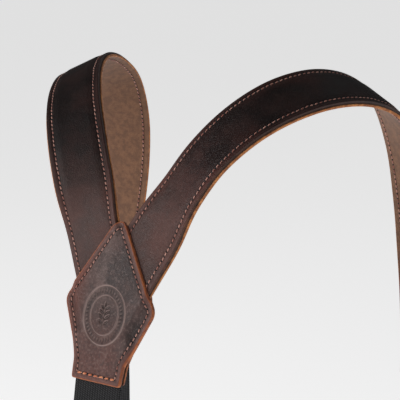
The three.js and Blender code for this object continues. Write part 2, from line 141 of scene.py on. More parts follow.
def catmull_rom(points: Array, samples: int) -> tuple[Array, Array]:
    """A centripetal Catmull-Rom curve through points.

    Args:
        points: the stations, one row each.
        samples: how many points to return.

    Returns:
        The points on the curve, and the station number that each lies at.
    """
    ends = (2 * points[:1] - points[1:2], 2 * points[-1:] - points[-2:-1])
    held = np.concatenate([ends[0], points, ends[1]])
    where = np.linspace(0, len(points) - 1, samples)
    index = np.minimum(where.astype(int), len(points) - 2)
    u = (where - index)[:, None]
    p = [held[index + k] for k in range(4)]
    d = [np.sqrt(np.linalg.norm(p[k + 1] - p[k], axis=1))[:, None] for k in range(3)]
    m1 = ((p[1] - p[0]) / d[0] - (p[2] - p[0]) / (d[0] + d[1]) + (p[2] - p[1]) / d[1]) * d[1]
    m2 = ((p[2] - p[1]) / d[1] - (p[3] - p[1]) / (d[1] + d[2]) + (p[3] - p[2]) / d[2]) * d[1]
    cubic = 2 * p[1] - 2 * p[2] + m1 + m2
    square = -3 * p[1] + 3 * p[2] - 2 * m1 - m2
    return p[1] + m1 * u + square * u**2 + cubic * u**3, where


def smooth_rows(rows: Array, reach: int) -> Array:
    """Averages each row with its neighbours on a bell of that reach, ends held."""
    span = np.arange(-2 * reach, 2 * reach + 1)
    weight = np.exp(-0.5 * (span / reach) ** 2)
    weight /= weight.sum()
    held = 2 * reach
    padded = np.concatenate([np.repeat(rows[:1], held, 0), rows, np.repeat(rows[-1:], held, 0)])
    return np.stack([np.convolve(padded[:, k], weight, "valid") for k in range(rows.shape[1])], 1)


@dataclass
class Route:
    """A path with a facing direction, along which flat pieces are laid."""

    at: Array
    out: Array
    along: Array
    distance: Array

    @classmethod
    def through(cls, points: Array, looks: Array, samples: int = 2400, soften: float = 0.0) -> "Route":
        """Makes the route through stations.

        Args:
            points: station places, one row each.
            looks: the way the outer face looks at each station.
            samples: how finely the route is measured.
            soften: length in metres over which the facing is evened out.

        Returns:
            The route.
        """
        at, where = catmull_rom(points, samples)
        step = np.linalg.norm(np.diff(at, axis=0), axis=1)
        distance = np.concatenate([[0.0], np.cumsum(step)])
        even = np.linspace(0.0, distance[-1], samples)
        at = np.stack([np.interp(even, distance, at[:, k]) for k in range(3)], 1)
        where = np.interp(even, distance, where)
        stations = np.arange(len(looks))
        out = np.stack([np.interp(where, stations, looks[:, k]) for k in range(3)], 1)
        if soften > 0:
            out = smooth_rows(out, max(1, int(soften / (even[1] - even[0]))))
        along = np.gradient(at, axis=0)
        along /= np.linalg.norm(along, axis=1, keepdims=True)
        out = out - along * (out * along).sum(1, keepdims=True)
        out /= np.linalg.norm(out, axis=1, keepdims=True)
        return cls(at, out, along, even)

    @property
    def length(self) -> float:
        """The route's whole length in metres."""
        return float(self.distance[-1])

    def frame(self, distance: Array) -> tuple[Array, Array, Array]:
        """The place, outward and forward directions at each distance along the route."""
        rows = [
            np.stack([np.interp(distance, self.distance, values[:, k]) for k in range(3)], -1)
            for values in (self.at, self.out, self.along)
        ]
        return rows[0], rows[1], rows[2]

    def lay(self, across: Array, distance: Array, lift: Array) -> Array:
        """Lays flat points on the route.

        Args:
            across: offset from the middle line, positive towards out x along.
            distance: distance along the route.
            lift: height over the route's surface.

        Returns:
            One row for each point.
        """
        at, out, along = self.frame(distance)
        side = np.cross(out, along)
        return at + side * across[:, None] + out * lift[:, None]


# --------------------------------------------------------------------------- mesh helpers


def deselect_all() -> None:
    """Leaves nothing selected."""
    if bpy.context.object and bpy.context.object.mode != "OBJECT":
        bpy.ops.object.mode_set(mode="OBJECT")
    bpy.ops.object.select_all(action="DESELECT")


def pick(piece: Piece) -> Piece:
    """Makes piece the only selected and active object."""
    deselect_all()
    piece.select_set(True)
    bpy.context.view_layer.objects.active = piece
    return piece


def named(name: str) -> Piece:
    """Names the object that an operator has just added."""
    piece = bpy.context.active_object
    piece.name = name
    piece.data.name = name
    return piece


def bake_place(piece: Piece) -> Piece:
    """Moves an object's place, turn and scale into its mesh."""
    bpy.context.view_layer.update()
    piece.data.transform(piece.matrix_world)
    piece.matrix_world = Matrix.Identity(4)
    return piece


def add_cube(name: str, low: Spot, high: Spot) -> Piece:
    """Adds a box between two corners, in metres."""
    deselect_all()
    centre = [(a + b) / 2 for a, b in zip(low, high)]
    bpy.ops.mesh.primitive_cube_add(size=1.0, location=centre)
    piece = named(name)
    piece.scale = [b - a for a, b in zip(low, high)]
    return bake_place(piece)


def add_rod(name: str, centre: Spot, radius: float, length: float, sides: int = 40) -> Piece:
    """Adds a round rod that lies along X.

    Args:
        name: the piece's name.
        centre: the middle of the rod.
        radius: the rod's radius.
        length: the rod's length.
        sides: how many flats go round it.

    Returns:
        The new object.
    """
    deselect_all()
    bpy.ops.mesh.primitive_cylinder_add(
        vertices=sides, radius=radius, depth=length, location=centre, rotation=(0, math.pi / 2, 0)
    )
    return bake_place(named(name))


def apply_modifiers(piece: Piece) -> Piece:
    """Applies all of a piece's modifiers in order."""
    pick(piece)
    for modifier in list(piece.modifiers):
        bpy.ops.object.modifier_apply(modifier=modifier.name)
    return piece


def cut_or_join(piece: Piece, others: Sequence[Piece], how: str) -> Piece:
    """Cuts other solids out of a piece, or joins them to it, and removes them.

    Args:
        piece: the solid that stays.
        others: the solids that are used up.
        how: DIFFERENCE or UNION.

    Returns:
        The piece.
    """
    for other in others:
        modifier = piece.modifiers.new("join", "BOOLEAN")
        modifier.operation = how
        modifier.solver = "EXACT"
        modifier.object = other
        apply_modifiers(piece)
        bpy.data.objects.remove(other)
    return piece


def soften_edges(piece: Piece, width: float, segments: int = 3, angle: float = 35.0) -> Piece:
    """Rounds a piece's sharp edges and shades it smoothly.

    Args:
        piece: the solid to finish.
        width: width of the rounding.
        segments: faces across each rounding.
        angle: edges sharper than this many degrees are rounded.

    Returns:
        The piece.
    """
    modifier = piece.modifiers.new("edges", "BEVEL")
    modifier.width = width
    modifier.segments = segments
    modifier.limit_method = "ANGLE"
    modifier.angle_limit = math.radians(angle)
    apply_modifiers(piece)
    shade(piece)
    modifier = piece.modifiers.new("flats", "WEIGHTED_NORMAL")
    modifier.keep_sharp = True
    return apply_modifiers(piece)


def shade(piece: Piece, angle: float = 40.0) -> Piece:
    """Shades a piece smoothly except over edges sharper than angle degrees."""
    pick(piece)
    bpy.ops.object.shade_smooth_by_angle(angle=math.radians(angle))
    return piece


def join_all(piece: Piece, others: Sequence[Piece]) -> Piece:
    """Makes others part of a piece as they are, each still closed by itself."""
    pick(piece)
    for other in others:
        other.select_set(True)
    bpy.ops.object.join()
    return piece


def round_corners(piece: Piece, radius: float, axis: int, segments: int = 6,
                  beyond: float = -math.inf) -> Piece:
    """Rounds the edges of a box that run along one axis.

    Args:
        piece: the box.
        radius: corner radius.
        axis: 0, 1 or 2 for X, Y or Z.
        segments: faces round each corner.
        beyond: only edges further out along Y than this are rounded.

    Returns:
        The piece.
    """
    pick(piece)
    bpy.ops.object.mode_set(mode="EDIT")
    bpy.ops.mesh.select_mode(type="EDGE")
    bpy.ops.mesh.select_all(action="DESELECT")
    bpy.ops.object.mode_set(mode="OBJECT")
    points = [v.co for v in piece.data.vertices]
    for edge in piece.data.edges:
        run = points[edge.vertices[0]] - points[edge.vertices[1]]
        edge.select = abs(run[axis]) > 0.99 * run.length and points[edge.vertices[0]].y > beyond
    bpy.ops.object.mode_set(mode="EDIT")
    bpy.ops.mesh.bevel(offset=radius, segments=segments, affect="EDGES")
    bpy.ops.object.mode_set(mode="OBJECT")
    return piece


def read_points(mesh: bpy.types.Mesh) -> Array:
    """A mesh's vertex places, one row each."""
    co = np.empty(len(mesh.vertices) * 3)
    mesh.vertices.foreach_get("co", co)
    return co.reshape(-1, 3)


def write_points(mesh: bpy.types.Mesh, points: Array) -> None:
    """Sets a mesh's vertex places."""
    mesh.vertices.foreach_set("co", np.ascontiguousarray(points, dtype=np.float32).ravel())
    mesh.update()


def write_value(mesh: bpy.types.Mesh, name: str, values: Array) -> None:
    """Stores one number on each vertex under a name that materials can read."""
    layer = mesh.attributes.get(name) or mesh.attributes.new(name, "FLOAT", "POINT")
    layer.data.foreach_set("value", np.ascontiguousarray(values, dtype=np.float32))


def write_uv(mesh: bpy.types.Mesh, across: Array, along: Array) -> None:
    """Stores a flat position in metres for each vertex as the mesh's UV map.

    Args:
        mesh: the mesh.
        across: offsets from the middle line.
        along: distances along the piece.
    """
    while mesh.uv_layers:
        mesh.uv_layers.remove(mesh.uv_layers[0])
    layer = mesh.uv_layers.new(name="flat")
    corner = np.empty(len(mesh.loops), dtype=np.int32)
    mesh.loops.foreach_get("vertex_index", corner)
    uv = np.stack([across[corner], along[corner]], 1)
    layer.data.foreach_set("uv", uv.astype(np.float32).ravel())


def close_ends(piece: Piece) -> None:
    """Fills the open ends of a swept shell and turns its faces outward.

    Args:
        piece: the piece.
    """
    pick(piece)
    bpy.ops.object.mode_set(mode="EDIT")
    bpy.ops.mesh.select_mode(type="EDGE")
    bpy.ops.mesh.select_all(action="SELECT")
    bpy.ops.mesh.remove_doubles(threshold=1e-7)
    bpy.ops.mesh.select_all(action="DESELECT")
    bpy.ops.mesh.select_non_manifold()
    bpy.ops.mesh.fill_holes(sides=0)
    bpy.ops.mesh.select_all(action="SELECT")
    bpy.ops.mesh.normals_make_consistent(inside=False)
    bpy.ops.object.mode_set(mode="OBJECT")


def sweep(name: str, profile: Sequence[tuple[float, float]], length: float, step: float) -> Piece:
    """Draws a closed profile in (X, Z) out along Y into a closed blank.

    Args:
        name: the piece's name.
        profile: the section's corners in order.
        length: how far it is drawn.
        step: spacing of the rings.

    Returns:
        The flat blank, from Y 0 to Y length.
    """
    deselect_all()
    bpy.ops.mesh.primitive_circle_add(vertices=len(profile), fill_type="NOTHING")
    piece = named(name)
    write_points(piece.data, np.array([(x, 0.0, z) for x, z in profile]))
    steps = max(2, round(length / step))
    modifier = piece.modifiers.new("draw", "SCREW")
    modifier.axis = "Y"
    modifier.angle = 0.0
    modifier.screw_offset = length
    modifier.steps = modifier.render_steps = steps + 1
    modifier.use_smooth_shade = True
    apply_modifiers(piece)
    close_ends(piece)
    return piece


# --------------------------------------------------------------------------- shader tools


class NodeKit:
    """Adds nodes and links to one node tree."""

    def __init__(self, tree: bpy.types.NodeTree) -> None:
        """Takes the tree to write in."""
        self.tree = tree

    def add(self, kind: str, **settings: object) -> Node:
        """Adds a node and sets its properties."""
        node = self.tree.nodes.new(kind)
        for key, value in settings.items():
            setattr(node, key, value)
        return node

    def link(self, source: Socket, target: Socket) -> None:
        """Links an output to an input."""
        self.tree.links.new(source, target)

    def feed(self, node: Node, **inputs: object) -> Node:
        """Sets or links a node's inputs, each named with underscores for spaces."""
        self.fill([node.inputs[key.replace("_", " ")] for key in inputs], list(inputs.values()))
        return node

    def noise(self, vector: Socket, scale: object, detail: float = 3.0, roughness: float = 0.5) -> Socket:
        """Adds a noise texture and returns its value."""
        node = self.add("ShaderNodeTexNoise")
        return self.feed(node, Vector=vector, Scale=scale, Detail=detail, Roughness=roughness).outputs["Fac"]

    def fill(self, sockets: Sequence[Socket], values: Sequence[object]) -> None:
        """Sets or links input sockets in order."""
        for socket, value in zip(sockets, values):
            if isinstance(value, Socket):
                self.link(value, socket)
            else:
                socket.default_value = value

    def math(self, how: str, a: object, b: object = 0.0, clamp: bool = False) -> Socket:
        """Adds a math node and returns its value."""
        node = self.add("ShaderNodeMath", operation=how, use_clamp=clamp)
        self.fill(node.inputs, (a, b))
        return node.outputs[0]

    def span(self, value: Socket, low: float, high: float, first: float, last: float) -> Socket:
        """Maps low...high to first...last smoothly and holds the ends."""
        node = self.add("ShaderNodeMapRange", interpolation_type="SMOOTHSTEP")
        self.fill(node.inputs[:5], (value, low, high, first, last))
        return node.outputs[0]

    def blend(self, mask: object, a: object, b: object) -> Socket:
        """Mixes colours a and b by a mask and returns the colour."""
        node = self.add("ShaderNodeMix", data_type="RGBA")
        self.fill((node.inputs[0], node.inputs[6], node.inputs[7]), (mask, a, b))
        return node.outputs[2]


class Shading(NodeKit):
    """Writes one node material, which starts as a Principled BSDF and its output."""

    def __init__(self, name: str) -> None:
        """Starts the material of that name.

        Args:
            name: the material's name.
        """
        self.material = bpy.data.materials.new(name)
        self.material.use_nodes = True
        super().__init__(self.material.node_tree)
        self.tree.nodes.clear()
        self.bsdf = self.add("ShaderNodeBsdfPrincipled")
        output = self.add("ShaderNodeOutputMaterial")
        self.link(self.bsdf.outputs["BSDF"], output.inputs["Surface"])

    def attribute(self, name: str) -> Socket:
        """Reads a value stored on the mesh's vertices."""
        return self.add("ShaderNodeAttribute", attribute_name=name).outputs["Fac"]

    def coordinates(self, which: str, scale: Sequence[float] = (1, 1, 1), turn: float = 0.0) -> Socket:
        """Texture coordinates, stretched by scale and turned by an angle about Z."""
        source = self.add("ShaderNodeTexCoord").outputs[which]
        node = self.add("ShaderNodeMapping")
        self.feed(node, Vector=source, Scale=scale, Rotation=(0.0, 0.0, turn))
        return node.outputs[0]

    def bump(self, height: Socket, distance: float, strength: float = 1.0) -> Socket:
        """Adds a bump of that depth in metres, on top of earlier ones, and wires it in.

        Args:
            height: the relief.
            distance: the relief's depth in metres.
            strength: how strongly the relief acts.

        Returns:
            The output that carries the result.
        """
        node = self.add("ShaderNodeBump")
        self.feed(node, Height=height, Distance=distance, Strength=strength)
        normal = self.bsdf.inputs["Normal"]
        if normal.is_linked:
            self.link(normal.links[0].from_socket, node.inputs["Normal"])
        self.link(node.outputs[0], normal)
        return node.outputs[0]


def colour(red: float, green: float, blue: float) -> tuple[float, float, float, float]:
    """A linear colour from an sRGB one given in 0...255."""
    def linear(value: float) -> float:
        """One channel's linear value."""
        value /= 255
        return value / 12.92 if value <= 0.04045 else ((value + 0.055) / 1.055) ** 2.4

    return linear(red), linear(green), linear(blue), 1.0


class NodeGroups:
    """The effects that several finishes share, each built once."""

    def __init__(self) -> None:
        """Builds the groups."""
        self.grain = self._leather_grain()
        self.fibre = self._cut_fibre()

    @staticmethod
    def _start(name: str, amount: tuple[str, float],
               outputs: Sequence[str]) -> tuple[NodeKit, Socket, Socket, Node]:
        """Starts a group that takes a Vector and one amount.

        Args:
            name: the group's name.
            amount: the amount's name and default.
            outputs: names of the values that the group puts out.

        Returns:
            The group's kit, its two inputs and its output node.
        """
        tree = bpy.data.node_groups.new(name, "ShaderNodeTree")
        tree.interface.new_socket("Vector", in_out="INPUT", socket_type="NodeSocketVector")
        number = tree.interface.new_socket(amount[0], in_out="INPUT", socket_type="NodeSocketFloat")
        number.default_value = amount[1]
        for label in outputs:
            tree.interface.new_socket(label, in_out="OUTPUT", socket_type="NodeSocketFloat")
        kit = NodeKit(tree)
        given, result = kit.add("NodeGroupInput"), kit.add("NodeGroupOutput")
        return kit, given.outputs[0], given.outputs[1], result

    def _leather_grain(self) -> bpy.types.NodeTree:
        """Pebbled leather grain with pores, and the cloudy tone of a waxed hide.

        Returns:
            The group's tree.
        """
        outputs = ("Height", "Cloud", "Specks")
        kit, vector, pebbles, result = self._start("leather_grain", ("Pebbles", 900.0), outputs)
        warp = kit.feed(kit.add("ShaderNodeTexNoise"), Vector=vector, Scale=420.0, Detail=2.0)
        shift = kit.add("ShaderNodeVectorMath", operation="MULTIPLY_ADD")
        kit.fill(shift.inputs[:3], (warp.outputs["Color"], (1.2 * MM, 1.2 * MM, 1.2 * MM), vector))
        cells = kit.add("ShaderNodeTexVoronoi", feature="DISTANCE_TO_EDGE")
        kit.feed(cells, Vector=shift.outputs[0], Scale=pebbles)
        edge = kit.add("ShaderNodeMapRange")
        kit.fill(edge.inputs[:3], (cells.outputs["Distance"], 0.0, 0.18))
        fine = kit.math("MULTIPLY", kit.noise(vector, 2600.0, 2.0), 0.55)
        kit.link(kit.math("ADD", fine, edge.outputs[0]), result.inputs["Height"])
        kit.link(kit.noise(vector, 46.0, 5.0, 0.6), result.inputs["Cloud"])
        kit.link(kit.noise(vector, 620.0, 4.0), result.inputs["Specks"])
        return kit.tree

    def _cut_fibre(self) -> bpy.types.NodeTree:
        """The layered fibres of a cut leather edge or of its flesh side."""
        kit, vector, scale, result = self._start("cut_fibre", ("Scale", 500.0), ("Height", "Tone"))
        for label, factor, detail in (("Height", 1.0, 6.0), ("Tone", 0.16, 4.0)):
            size = kit.math("MULTIPLY", scale, factor)
            kit.link(kit.noise(vector, size, detail, 0.65), result.inputs[label])
        return kit.tree


# --------------------------------------------------------------------------- finishes


@dataclass(frozen=True)
class Leather:
    """A waxed, pulled-up leather face with a darker or redder rim."""

    name: str
    body: tuple[float, float, float]
    dark: tuple[float, float, float]
    red: tuple[float, float, float]
    bloom: tuple[float, float, float]
    rim: tuple[float, float, float]
    roughness: float = 0.42
    pebbles: float = 900.0
    grain_depth: float = 0.00012
    red_amount: float = 0.5
    bloom_amount: float = 0.25
    sheen: float = 0.03
    specular: float = 0.36
    mottle: float = 0.45
    raw: tuple[float, float, float] = (120, 66, 42)

    def material(self, groups: NodeGroups) -> Material:
        """Builds the material; reads rim, raw, tone (also painted shade) and wear (also painted highlights).

        Args:
            groups: the shared node groups.

        Returns:
            The material.
        """
        s = Shading(self.name)
        place = s.coordinates("Object")
        grain = s.add("ShaderNodeGroup", node_tree=groups.grain)
        s.feed(grain, Vector=place, Pebbles=self.pebbles)
        height, cloud, specks = (grain.outputs[k] for k in ("Height", "Cloud", "Specks"))
        base = s.blend(s.span(cloud, 0.38, 0.62, 0.0, 1.0), colour(*self.dark), colour(*self.body))
        patches = s.span(s.noise(place, 21.0, 4.0), 0.46, 0.68, 0.0, self.red_amount)
        base = s.blend(patches, base, colour(*self.red))
        streaks = s.coordinates("Object", (60.0, 60.0, 16.0))
        bloom = s.span(s.noise(streaks, 1.0, 5.0), 0.5, 0.78, 0.0, self.bloom_amount)
        base = s.blend(bloom, base, colour(*self.bloom))
        base = s.blend(s.span(specks, 0.52, 0.66, 0.0, self.mottle), base, colour(*self.dark))
        base = s.blend(s.span(specks, 0.47, 0.34, 0.0, self.mottle * 0.5), base, colour(*self.bloom))
        # Painted shade: fine creases are darkened as if shade lay in them; a shallow dent bump follows the
        # same creases.
        wrinkle = s.noise(s.coordinates("UV", (34.0, 330.0, 1.0)), 1.0, 3.0)
        worn = s.math("MULTIPLY", s.span(wrinkle, 0.5, 0.72, 0.0, 1.0), s.span(cloud, 0.5, 0.66, 0.0, 1.0))
        base = s.blend(s.math("MULTIPLY", worn, 0.35), base, colour(*self.dark))
        base = s.blend(s.attribute("rim"), base, colour(*self.rim))
        base = s.blend(s.attribute("raw"), base, colour(*self.raw))
        # Tone darkens burnished edges, seams and stamped marks, and also carries painted shade over the
        # shoulders and in the patch's creases.
        base = s.blend(s.attribute("tone"), base, (0.004, 0.0035, 0.0035, 1.0))
        # The wear mask lightens rubbed edges and also carries painted highlights: a sheen on the strap near
        # the patch and the lit rims of the emblem.
        base = s.blend(s.attribute("wear"), base, colour(*self.bloom))
        rough = s.math("ADD", s.span(cloud, 0.3, 0.7, self.roughness - 0.07, self.roughness + 0.09),
                       s.math("MULTIPLY", bloom, 0.35))
        rough = s.math("SUBTRACT", rough, s.math("MULTIPLY", height, 0.05), clamp=True)
        s.feed(s.bsdf, Base_Color=base, Roughness=rough, Specular_IOR_Level=self.specular)
        s.feed(s.bsdf, Sheen_Weight=self.sheen, Sheen_Roughness=0.5)
        s.bump(s.noise(place, 150.0, 4.0), 0.0004, 0.35)
        s.bump(worn, -0.00012, 0.8)
        s.bump(height, self.grain_depth, 0.8)
        return s.material


@dataclass(frozen=True)
class CutLeather:
    """The matt fibres of a cut edge or a flesh side."""

    name: str
    light: tuple[float, float, float]
    deep: tuple[float, float, float]
    scale: float = 1500.0
    depth: float = 0.0002
    roughness: float = 0.72

    def material(self, groups: NodeGroups) -> Material:
        """Builds the material; it reads the attribute tone.

        Args:
            groups: the shared node groups.

        Returns:
            The material.
        """
        s = Shading(self.name)
        place = s.coordinates("Object")
        fibre = s.add("ShaderNodeGroup", node_tree=groups.fibre)
        s.feed(fibre, Vector=place, Scale=self.scale)
        height, tone = fibre.outputs["Height"], fibre.outputs["Tone"]
        base = s.blend(s.span(tone, 0.36, 0.64, 0.0, 1.0), colour(*self.deep), colour(*self.light))
        # Painted shade: the low fibres are darkened towards the deep colour.
        base = s.blend(s.span(height, 0.35, 0.6, 0.35, 0.0), base, colour(*self.deep))
        base = s.blend(s.attribute("tone"), base, colour(*self.deep))
        rough = s.span(height, 0.3, 0.7, self.roughness + 0.08, self.roughness - 0.08)
        s.feed(s.bsdf, Base_Color=base, Roughness=rough, Specular_IOR_Level=0.35)
        s.feed(s.bsdf, Sheen_Weight=0.12, Sheen_Roughness=0.6)
        s.bump(height, self.depth, 0.8)
        return s.material


@dataclass(frozen=True)
class Thread:
    """Waxed sewing thread, twisted from two plies."""

    name: str
    light: tuple[float, float, float]
    deep: tuple[float, float, float]
    roughness: float = 0.55

    def material(self, groups: NodeGroups) -> Material:
        """Builds the material; its twist follows each stitch's UV map.

        Args:
            groups: the shared node groups; not used.

        Returns:
            The material.
        """
        s = Shading(self.name)
        twist = s.add("ShaderNodeTexWave", wave_type="BANDS", bands_direction="DIAGONAL")
        s.feed(twist, Vector=s.coordinates("UV", (1.0, 1.0, 1.0)), Scale=1.6, Distortion=0.4)
        ply = twist.outputs["Fac"]
        dye = s.span(s.noise(s.coordinates("Object"), 240.0, 3.0), 0.35, 0.65, 0.0, 1.0)
        base = s.blend(dye, colour(*self.deep), colour(*self.light))
        # Painted shade: the grooves between the plies are darkened.
        base = s.blend(s.span(ply, 0.0, 0.5, 0.45, 0.0), base, colour(*self.deep))
        s.feed(s.bsdf, Base_Color=base, Roughness=s.span(ply, 0.0, 1.0, self.roughness + 0.1, self.roughness))
        s.feed(s.bsdf, Sheen_Weight=0.25)
        s.bump(ply, 0.00012, 0.8)
        return s.material


@dataclass(frozen=True)
class Elastic:
    """Black ribbed elastic webbing; its ribs follow the piece's flat UV map, in metres."""

    name: str
    yarn: tuple[float, float, float]
    # The gap colour is painted shade between the yarns.
    gap: tuple[float, float, float]
    rib: float = 1.9 * MM
    pick: float = 1.3 * MM

    def material(self, groups: NodeGroups) -> Material:
        """Builds the material.

        Args:
            groups: the shared node groups; not used.

        Returns:
            The material.
        """
        s = Shading(self.name)
        flat = s.add("ShaderNodeTexCoord").outputs["UV"]
        split = s.add("ShaderNodeSeparateXYZ")
        s.link(flat, split.inputs[0])
        across, along = split.outputs[0], split.outputs[1]
        column = s.math("DIVIDE", across, self.rib)
        shift = s.math("MULTIPLY", s.math("FLOOR", column), 0.5)
        row = s.math("ADD", s.math("DIVIDE", along, self.pick), shift)
        rib = s.math("ABSOLUTE", s.math("SINE", s.math("MULTIPLY", column, math.pi)))
        slant = s.math("ADD", row, s.math("MULTIPLY", s.math("FRACT", column), 0.5))
        pick = s.math("ABSOLUTE", s.math("SINE", s.math("MULTIPLY", slant, math.pi)))
        weave = s.math("MULTIPLY", s.math("POWER", rib, 0.8), s.math("POWER", pick, 1.3))
        fuzz = s.noise(s.coordinates("Object"), 2400.0, 3.0)
        tone = s.math("MULTIPLY", weave, s.span(fuzz, 0.3, 0.7, 0.75, 1.1))
        # Painted shade: the gaps between the yarns take the near-black gap colour.
        base = s.blend(tone, colour(*self.gap), colour(*self.yarn))
        s.feed(s.bsdf, Base_Color=base, Roughness=s.span(weave, 0.0, 1.0, 0.9, 0.62))
        s.feed(s.bsdf, Sheen_Weight=0.12, Sheen_Roughness=0.4, Specular_IOR_Level=0.3)
        s.bump(fuzz, 0.00008, 0.5)
        s.bump(weave, 0.00035, 0.9)
        return s.material


@dataclass(frozen=True)
class Plate:
    """Nickel-plated pressed steel, with faint brushing, tarnish and pits."""

    name: str
    bright: tuple[float, float, float] = (205, 204, 201)
    dull: tuple[float, float, float] = (150, 149, 147)
    roughness: float = 0.24

    def material(self, groups: NodeGroups) -> Material:
        """Builds the material.

        Args:
            groups: the shared node groups; not used.

        Returns:
            The material.
        """
        s = Shading(self.name)
        place = s.coordinates("Object")
        cloud = s.noise(place, 70.0, 5.0)
        brushed = s.noise(s.coordinates("Object", (160.0, 3000.0, 3000.0)), 1.0, 3.0)
        pits = s.span(s.noise(place, 900.0, 2.0), 0.66, 0.74, 0.0, 1.0)
        base = s.blend(s.span(cloud, 0.4, 0.72, 0.0, 0.55), colour(*self.bright), colour(*self.dull))
        base = s.blend(s.math("MULTIPLY", pits, 0.5), base, colour(96, 92, 88))
        rough = s.math("ADD", s.span(cloud, 0.35, 0.7, self.roughness - 0.05, self.roughness + 0.12),
                       s.math("MULTIPLY", s.math("ADD", pits, brushed), 0.1))
        s.feed(s.bsdf, Base_Color=base, Metallic=1.0, Roughness=rough)
        s.bump(brushed, 0.00001, 0.5)
        s.bump(pits, -0.00003, 0.6)
        return s.material


@dataclass(frozen=True)
class Rubber:
    """Moulded black rubber, dusty in patches."""

    name: str
    body: tuple[float, float, float] = (34, 33, 34)

    def material(self, groups: NodeGroups) -> Material:
        """Builds the material.

        Args:
            groups: the shared node groups; not used.

        Returns:
            The material.
        """
        s = Shading(self.name)
        place = s.coordinates("Object")
        dust = s.span(s.noise(place, 320.0, 5.0), 0.5, 0.75, 0.0, 0.35)
        s.feed(s.bsdf, Base_Color=s.blend(dust, colour(*self.body), colour(92, 88, 84)))
        s.feed(s.bsdf, Roughness=s.span(s.noise(place, 110.0, 3.0), 0.3, 0.7, 0.55, 0.75))
        s.bump(s.noise(place, 3800.0, 2.0), 0.00004, 0.6)
        return s.material


class Finishes:
    """Every material of the object, by the part of it that it covers."""

    def __init__(self) -> None:
        """Builds the materials around one set of shared node groups."""
        groups = NodeGroups()
        strap = Leather(
            "strap_leather", body=(66, 38, 34), dark=(38, 22, 21), red=(98, 48, 39),
            bloom=(112, 88, 82), rim=(92, 42, 32), raw=(112, 60, 38), red_amount=0.7, bloom_amount=0.12,
            roughness=0.46, specular=0.17, mottle=0.36,
        )
        patch = Leather(
            "patch_leather", body=(84, 63, 59), dark=(52, 39, 37), red=(98, 54, 44),
            bloom=(146, 124, 118), rim=(108, 52, 36), raw=(176, 96, 48), roughness=0.46, pebbles=1100.0,
            red_amount=0.6, bloom_amount=0.3, mottle=0.5, specular=0.3,
        )
        self.strap = strap.material(groups)
        self.patch = patch.material(groups)
        self.edge = CutLeather("burnished_edge", (104, 60, 40), (50, 28, 22), roughness=0.55).material(groups)
        patch_edge = CutLeather("patch_edge", (202, 114, 58), (126, 64, 36), roughness=0.6)
        lining = CutLeather("lining_leather", (122, 84, 58), (98, 66, 46), depth=0.00015)
        self.patch_edge, self.lining = patch_edge.material(groups), lining.material(groups)
        self.lining_edge = CutLeather("lining_edge", (206, 134, 74), (146, 84, 44)).material(groups)
        self.thread = Thread("seam_thread", (206, 154, 138), (146, 86, 72)).material(groups)
        self.hem_thread = Thread("hem_thread", (240, 160, 108), (186, 96, 56)).material(groups)
        # Painted shade: the awl holes are near-black pieces standing in for the shade inside them.
        self.hole = CutLeather("stitch_hole_shade", (20, 12, 11), (8, 5, 5), roughness=0.9).material(groups)
        self.elastic = Elastic("elastic_webbing", (44, 44, 46), (6, 6, 7)).material(groups)
        self.steel = Plate("plated_steel").material(groups)
        self.rubber = Rubber("grip_rubber").material(groups)


# --------------------------------------------------------------------------- stitches


